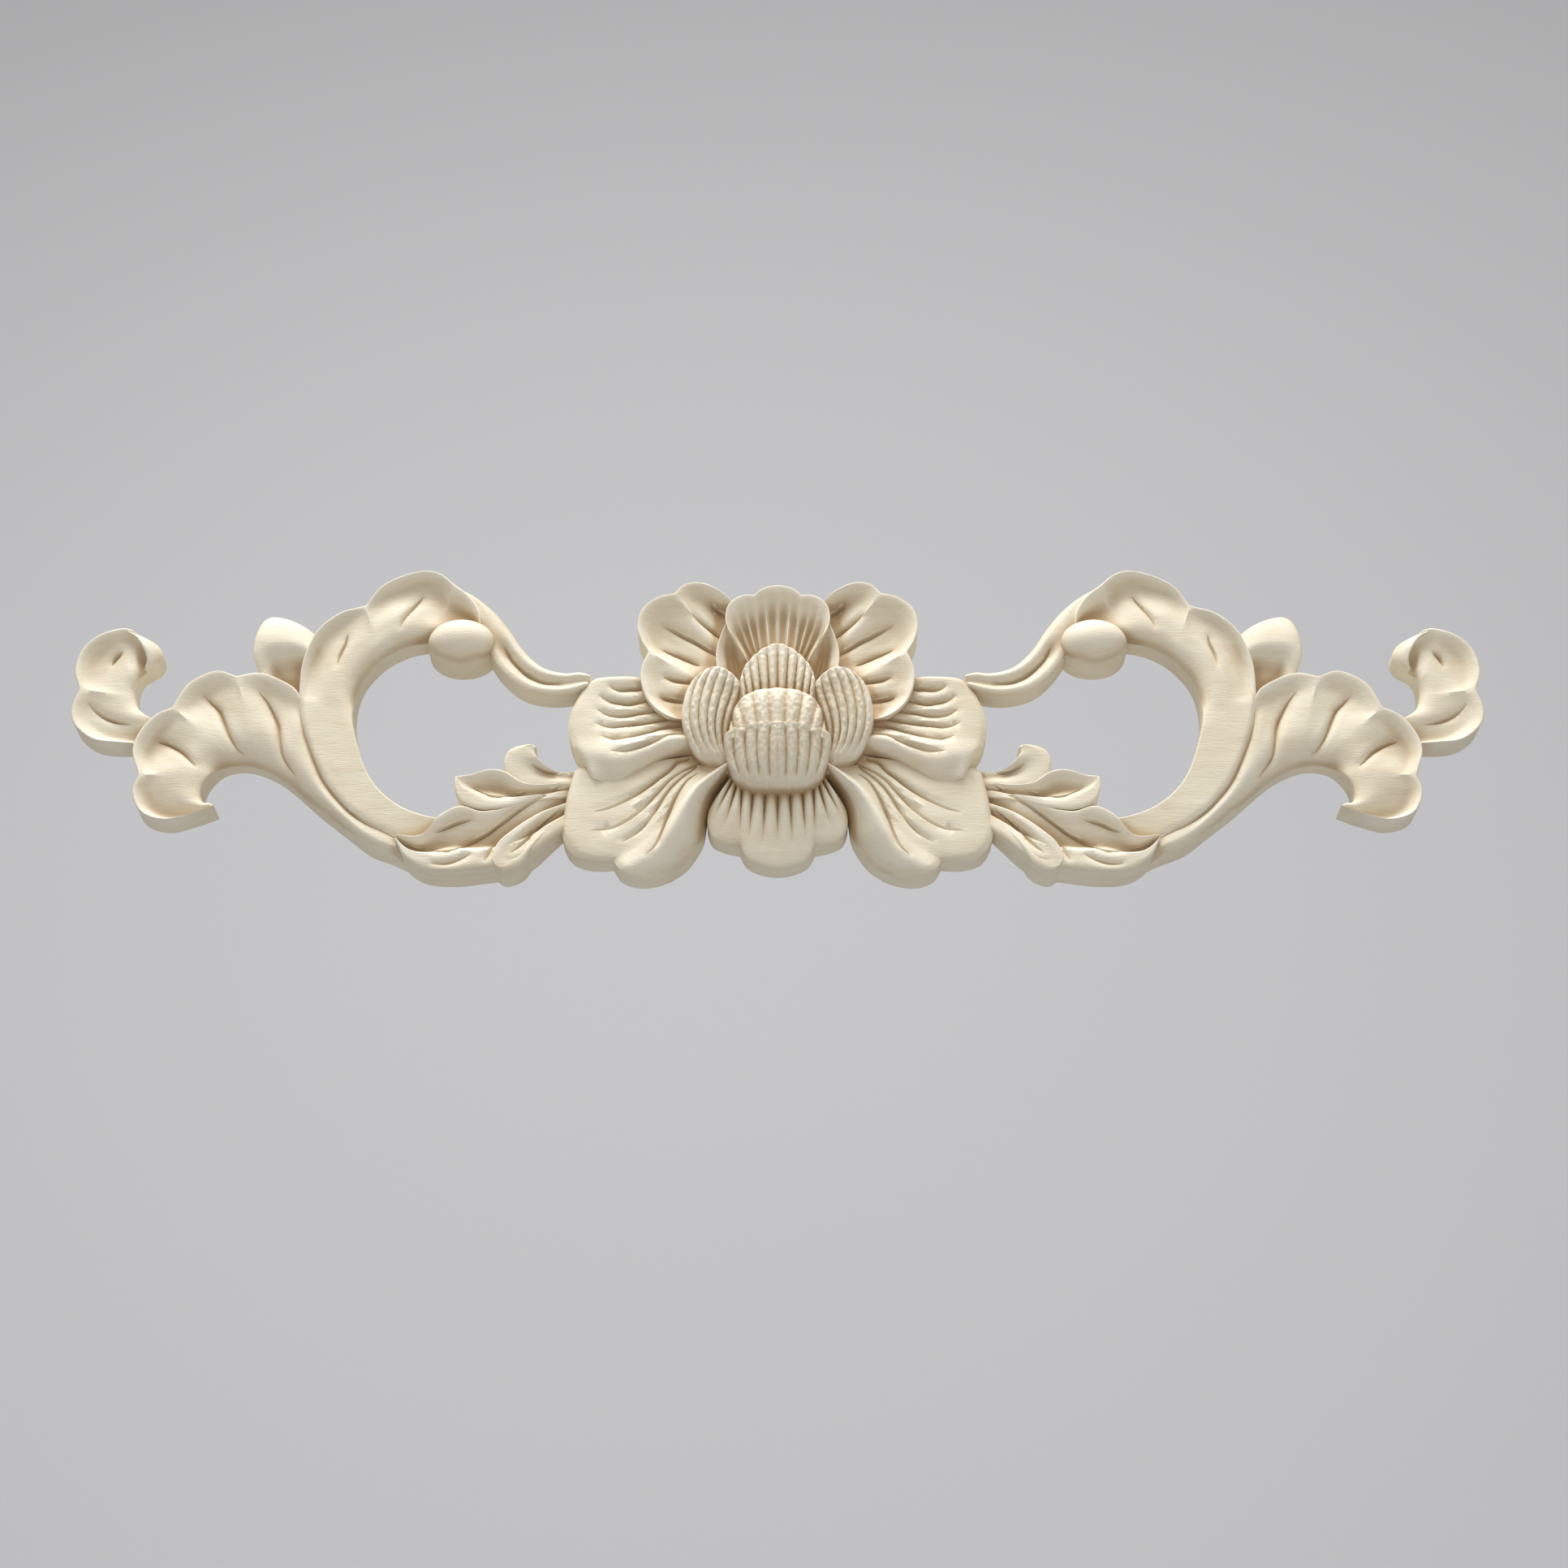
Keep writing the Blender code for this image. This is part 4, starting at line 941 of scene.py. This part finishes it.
def cut_strokes(half):
    """Sinks a soft valley along every stroke, then cuts its sharp line."""
    settings = bpy.context.scene.applique_carving
    mesh = bmesh.new()
    mesh.from_mesh(half.data)
    tree = BVHTree.FromBMesh(mesh)
    groups = [[(run_on(tree, on_surface(tree, path, plane)), share) for path in paths]
              for plane, share, paths in STROKES]
    points = np.array([vert.co for vert in mesh.verts])
    for path, share in itertools.chain(*groups):
        soften(points, follow(tree, path), share * settings.valley_depth, settings.valley_width)
    for vert, point in zip(mesh.verts, points):
        vert.co = point
    mesh.to_mesh(half.data)
    tree = BVHTree.FromBMesh(mesh)
    mesh.free()
    for batch in itertools.zip_longest(*groups):
        tools = bmesh.new()
        for path, share in filter(None, batch):
            one = as_object(chisel(follow(tree, path), math.sqrt(share) * settings.stroke_depth), "chisel")
            tools.from_mesh(one.data)
            bpy.data.meshes.remove(one.data)
        combine(half, as_object(tools, "chisels"), "DIFFERENCE")


def drop_splinters(mesh):
    """Removes the loose splinters that the cuts leave."""
    bmesh.ops.delete(mesh, geom=[edge for edge in mesh.edges if not edge.link_faces], context="EDGES")
    waiting = set(mesh.verts)
    splinters = []
    while waiting:
        group = [waiting.pop()]
        for vert in group:
            for edge in vert.link_edges:
                other = edge.other_vert(vert)
                if other in waiting:
                    waiting.discard(other)
                    group.append(other)
        if len(group) < SPLINTER:
            splinters += group
    bmesh.ops.delete(mesh, geom=splinters, context="VERTS")


def drop_folded_pairs(mesh):
    """Removes triangles that lie back to back on the same three points."""
    alike = {}
    for face in mesh.faces:
        alike.setdefault(frozenset(face.verts), []).append(face)
    folded = [face for faces in alike.values() if len(faces) > 1 for face in faces]
    bmesh.ops.delete(mesh, geom=folded, context="FACES")


def trim_and_mirror(half):
    """Saws the back off flat, and mirrors the half at the centre line."""
    saw = bmesh.new()
    bmesh.ops.create_cube(saw, size=SAW, matrix=Matrix.Translation((0, 0, -SAW / 2)))
    combine(half, as_object(saw, "saw"), "DIFFERENCE")
    mesh = bmesh.new()
    mesh.from_mesh(half.data)
    bmesh.ops.bisect_plane(mesh, geom=mesh.verts[:] + mesh.edges[:] + mesh.faces[:], dist=WELD,
                           plane_co=(0, 0, 0), plane_no=(1, 0, 0), clear_outer=True)
    drop_splinters(mesh)
    bmesh.ops.triangulate(mesh, faces=mesh.faces, quad_method="BEAUTY", ngon_method="BEAUTY")
    drop_folded_pairs(mesh)
    bmesh.ops.mirror(mesh, geom=mesh.verts[:] + mesh.edges[:] + mesh.faces[:], axis="X", merge_dist=WELD)
    bmesh.ops.recalc_face_normals(mesh, faces=mesh.faces)
    return mesh


def stand_upright(mesh):
    """Turns the drawing to face the front, and fits it to the solid's box."""
    upright = Matrix.Rotation(QUARTER_TURN, 4, "X") @ Matrix.Scale(SCALE, 4)
    bmesh.ops.transform(mesh, matrix=upright, verts=mesh.verts)
    points = np.array([vert.co for vert in mesh.verts])
    low, high = points.min(axis=0), points.max(axis=0)
    spans = [(CAD_HIGH[axis] - CAD_LOW[axis]) / (high[axis] - low[axis]) for axis in range(3)]
    bmesh.ops.scale(mesh, vec=spans, verts=mesh.verts)
    shift = [CAD_LOW[axis] - low[axis] * spans[axis] for axis in range(3)]
    bmesh.ops.translate(mesh, vec=shift, verts=mesh.verts)


def blurred(values, reach):
    """Values averaged over a square of cells, passed three times for a soft edge."""
    kernel = np.ones(2 * reach + 1) / (2 * reach + 1)
    for _ in range(3):
        values = np.apply_along_axis(np.convolve, 0, values, kernel, mode="same")
        values = np.apply_along_axis(np.convolve, 1, values, kernel, mode="same")
    return values


def sampled(grid, spots):
    """The grid's values at places between its cells."""
    cells = np.floor(spots).astype(int)
    x, y = cells.T
    u, v = (spots - cells).T
    return ((grid[x, y] * (1 - u) + grid[x + 1, y] * u) * (1 - v)
            + (grid[x, y + 1] * (1 - u) + grid[x + 1, y + 1] * u) * v)


def mark_hollows(data):
    """Stores how deep each point lies below its wide and its close surroundings, in millimetres.

    The material paints shade there, and paints a highlight where the close surroundings lie lower. The outer
    walls and the back don't count as hollows.
    """
    cell = 0.8  # side of a cell of the height map
    margin = 12  # empty cells round the piece
    points = np.array([vert.co for vert in data.vertices]) * 1000
    spots = (points[:, [0, 2]] - points[:, [0, 2]].min(axis=0)) / cell + margin
    across, up = np.round(spots).astype(int).T
    depth = -points[:, 1]
    height = np.zeros((across.max() + margin + 1, up.max() + margin + 1))
    np.maximum.at(height, (across, up), depth)
    known = (height > 0.5).astype(float)
    turned = np.array([-vert.normal.y for vert in data.vertices])
    # hollow: depth below the wide surroundings, darkened by the material as painted shade; groove: depth
    # below the close surroundings, darkened in cuts as painted shade and lightened on ridges as painted
    # highlight
    for name, reach in (("hollow", 5), ("groove", 2)):
        share = blurred(known, reach)
        level = sampled(blurred(height, reach) / np.maximum(share, 0.02), spots)
        share = sampled(share, spots)
        inside = ramp(share, 0.5, 0.8) * np.maximum(ramp(turned, 0.1, 0.4), ramp(share, 0.8, 0.95))
        inside *= ramp(turned, -0.4, -0.1)
        below = level - depth
        below = np.where(below > 0, below * inside, below * (turned > 0))
        store = data.attributes.new(name, "FLOAT", "POINT")
        store.data.foreach_set("value", below.astype(np.float32))


def node(tree, kind, place, **values):
    """Adds a shader node and sets its sockets and properties."""
    made = tree.nodes.new(kind)
    made.location = place
    for key, value in values.items():
        if key in made.inputs:
            made.inputs[key].default_value = value
        else:
            setattr(made, key, value)
    return made


def spread(tree, value, place, source, target):
    """Maps a value from one range to another."""
    made = node(tree, "ShaderNodeMapRange", place)
    for name, number in zip(("From Min", "From Max", "To Min", "To Max"), source + target):
        made.inputs[name].default_value = number
    tree.links.new(value, made.inputs["Value"])
    return made.outputs["Result"]


def blend(tree, place, factor, first, second):
    """Blends two colours, each a value or another node's output."""
    made = node(tree, "ShaderNodeMix", place, data_type="RGBA")
    tree.links.new(factor, made.inputs["Factor"])
    for socket, value in zip((made.inputs["A"], made.inputs["B"]), (first, second)):
        if isinstance(value, bpy.types.NodeSocket):
            tree.links.new(value, socket)
        else:
            socket.default_value = value
    return made.outputs["Result"]


def speckle(tree, place, scale, detail, roughness):
    """Noise on the object's own coordinates, scaled along each axis."""
    origin = node(tree, "ShaderNodeTexCoord", (place[0] - 400, place[1]))
    space = node(tree, "ShaderNodeMapping", (place[0] - 200, place[1]), Scale=scale)
    tree.links.new(origin.outputs["Object"], space.inputs["Vector"])
    made = node(tree, "ShaderNodeTexNoise", place, Scale=1.0, Detail=detail, Roughness=roughness)
    tree.links.new(space.outputs["Vector"], made.inputs["Vector"])
    return made.outputs["Fac"]


def added(tree, place, first, second):
    """Adds two values, up to 1."""
    made = node(tree, "ShaderNodeMath", place, operation="ADD", use_clamp=True)
    tree.links.new(first, made.inputs[0])
    tree.links.new(second, made.inputs[1])
    return made.outputs["Value"]


def bare_wood():
    """Pale close-grained wood with fine grain along the piece and short pores, painted shade in its hollows
    and cuts, and a painted highlight on its ridges.
    """
    settings = bpy.context.scene.applique_wood
    material = bpy.data.materials.new("bare_wood")
    material.use_nodes = True
    tree = material.node_tree
    link = tree.links.new
    shader = tree.nodes["Principled BSDF"]
    shader.inputs["Roughness"].default_value = settings.roughness
    grain = speckle(tree, (-1100, 200), (60, 420, 420), 5.0, 0.6)
    pores = speckle(tree, (-1100, -150), (260, 2400, 2400), 2.0, 0.5)
    patches = speckle(tree, (-1100, 450), (30, 30, 30), 3.0, 0.6)
    pore_marks = spread(tree, pores, (-850, -100), (0.36, 0.5), (0.0, 1.0))
    patchy = spread(tree, patches, (-850, 450), (0.4, 0.7), (0.0, 0.4))
    streaks = spread(tree, grain, (-850, 250), (0.45, 0.85), (0.0, 0.6))
    darker = added(tree, (-650, 350), patchy, streaks)
    grained = blend(tree, (-450, 300), darker, settings.face_colour, settings.grain_colour)

    # painted highlight: points that stand above their close surroundings are lightened
    groove = node(tree, "ShaderNodeAttribute", (-1100, -650), attribute_name="groove")
    edges = spread(tree, groove.outputs["Fac"], (-850, -500), (-0.1, -0.7), (0.0, 0.6))
    with_painted_highlight = blend(tree, (-250, 250), edges, grained, settings.painted_highlight_colour)

    # painted shade: points that lie below their surroundings are darkened, in wide hollows and in narrow cuts
    hollow = node(tree, "ShaderNodeAttribute", (-1100, -400), attribute_name="hollow")
    deep = spread(tree, hollow.outputs["Fac"], (-850, -300), (0.3, 3.4), (0.0, 0.8))
    cut = spread(tree, groove.outputs["Fac"], (-850, -700), (0.1, 0.9), (0.0, 0.5))
    shaded = added(tree, (-450, -400), deep, cut)
    with_painted_shade = blend(tree, (-50, 150), shaded, with_painted_highlight, settings.painted_shade_colour)
    link(with_painted_shade, shader.inputs["Base Color"])

    bump = node(tree, "ShaderNodeBump", (-250, -200), Strength=0.25, Distance=0.0002)
    mixed = node(tree, "ShaderNodeMath", (-450, -200), operation="MULTIPLY_ADD")
    mixed.inputs[1].default_value = 0.6
    link(pore_marks, mixed.inputs[0])
    link(grain, mixed.inputs[2])
    link(mixed.outputs["Value"], bump.inputs["Height"])
    link(bump.outputs["Normal"], shader.inputs["Normal"])
    return material


def plain(name, base, roughness):
    """A plain matt material for the studio."""
    material = bpy.data.materials.new(name)
    material.use_nodes = True
    shader = material.node_tree.nodes["Principled BSDF"]
    shader.inputs["Base Color"].default_value = base
    shader.inputs["Roughness"].default_value = roughness
    return material


class APPLIQUE_OT_branch(bpy.types.Operator):
    """Carves the left branch: scrolls, leaves and the end curl"""

    bl_idname = "applique.branch"
    bl_label = "Carve the branch"

    def execute(self, context):
        carve_blocks(BRANCH, "branch", 0)
        return {"FINISHED"}


class APPLIQUE_OT_flower(bpy.types.Operator):
    """Carves the petals and the bud of the flower"""

    bl_idname = "applique.flower"
    bl_label = "Carve the flower"

    def execute(self, context):
        carve_blocks(FLOWER, "flower", len(BRANCH))
        return {"FINISHED"}


class APPLIQUE_OT_applique(bpy.types.Operator):
    """Joins the branch and the flower, cuts the strokes, mirrors the half and finishes it as wood"""

    bl_idname = "applique.applique"
    bl_label = "Join and finish the applique"

    def execute(self, context):
        half = bpy.data.objects["branch"]
        combine(half, bpy.data.objects["flower"], "UNION")
        cut_strokes(half)
        mesh = trim_and_mirror(half)
        bpy.data.objects.remove(half)
        stand_upright(mesh)
        piece = as_object(mesh, "carving")
        piece.data.shade_smooth()
        piece.data.set_sharp_from_angle(angle=CREASE)
        mark_hollows(piece.data)
        piece.data.materials.append(bare_wood())
        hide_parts("applique")
        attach(piece, "root")
        return {"FINISHED"}


class APPLIQUE_OT_studio(bpy.types.Operator):
    """Sets up the floor, the wall, the lights and the camera"""

    bl_idname = "applique.studio"
    bl_label = "Set up the studio"

    def execute(self, context):
        settings = context.scene.applique_studio
        sweep = bmesh.new()
        bmesh.ops.create_grid(sweep, x_segments=1, y_segments=1, size=1)
        bmesh.ops.scale(sweep, vec=(FLOOR_REACH, FLOOR_REACH, 1), verts=sweep.verts)
        middle = (0, settings.wall_distance - FLOOR_REACH, -settings.floor_drop)
        bmesh.ops.translate(sweep, vec=middle, verts=sweep.verts)
        back = [edge for edge in sweep.edges if all(vert.co.y > middle[1] for vert in edge.verts)]
        raised = bmesh.ops.extrude_edge_only(sweep, edges=back)
        for vert in raised["geom"]:
            if isinstance(vert, bmesh.types.BMVert):
                vert.co.z += WALL_HEIGHT
        bmesh.ops.bevel(sweep, geom=back, offset=SWEEP_RADIUS, offset_type="OFFSET", affect="EDGES",
                        segments=SWEEP_STEPS, profile=0.5, material=-1)
        floor = as_object(sweep, "floor")
        floor.data.shade_smooth()
        floor.data.materials.append(plain("pale_floor", settings.floor_colour, 0.8))

        self.area_light("top_light", settings.top_light, TOP_LIGHT_SIZE, TOP_LIGHT_PLACE)
        self.area_light("front_light", settings.front_light, FRONT_LIGHT_SIZE, FRONT_LIGHT_PLACE)

        world = bpy.data.worlds.new("studio")
        world.use_nodes = True
        background = world.node_tree.nodes["Background"]
        background.inputs["Color"].default_value = (1, 1, 1, 1)
        background.inputs["Strength"].default_value = settings.world_strength
        context.scene.world = world
        context.scene.view_settings.view_transform = "Standard"

        camera = bpy.data.objects.new("camera", bpy.data.cameras.new("camera"))
        camera.data.lens = VIEW_LENS
        looking = Vector((0, math.cos(VIEW_TILT), math.sin(VIEW_TILT)))
        camera.location = VIEW_TARGET - looking * VIEW_DISTANCE
        camera.rotation_euler = looking.to_track_quat("-Z", "Y").to_euler()
        context.scene.collection.objects.link(camera)
        context.scene.camera = camera
        return {"FINISHED"}

    def area_light(self, name, power, size, place):
        """A square soft light that faces the piece."""
        light = bpy.data.objects.new(name, bpy.data.lights.new(name, "AREA"))
        light.data.energy = power
        light.data.size = size
        light.location = place
        light.rotation_euler = (-Vector(place)).to_track_quat("-Z", "Y").to_euler()
        bpy.context.scene.collection.objects.link(light)


OPERATORS = (APPLIQUE_OT_branch, APPLIQUE_OT_flower, APPLIQUE_OT_applique, APPLIQUE_OT_studio)


class APPLIQUE_PT_panel(bpy.types.Panel):
    """Lists the steps in order"""

    bl_idname = "APPLIQUE_PT_panel"
    bl_label = "Applique"
    bl_space_type = "VIEW_3D"
    bl_region_type = "UI"
    bl_category = "Applique"

    def draw(self, context):
        for operator in OPERATORS:
            self.layout.operator(operator.bl_idname)


SETTINGS = (("applique_carving", CarvingSettings), ("applique_wood", WoodSettings),
            ("applique_studio", StudioSettings))


def register():
    for name, group in SETTINGS:
        bpy.utils.register_class(group)
        setattr(bpy.types.Scene, name, PointerProperty(type=group))
    for item in OPERATORS + (APPLIQUE_PT_panel,):
        bpy.utils.register_class(item)


def unregister():
    for item in reversed(OPERATORS + (APPLIQUE_PT_panel,)):
        bpy.utils.unregister_class(item)
    for name, group in reversed(SETTINGS):
        delattr(bpy.types.Scene, name)
        bpy.utils.unregister_class(group)


def main():
    register()
    bpy.ops.applique.branch()
    bpy.ops.applique.flower()
    bpy.ops.applique.applique()
    bpy.ops.applique.studio()


if __name__ == "__main__":
    main()
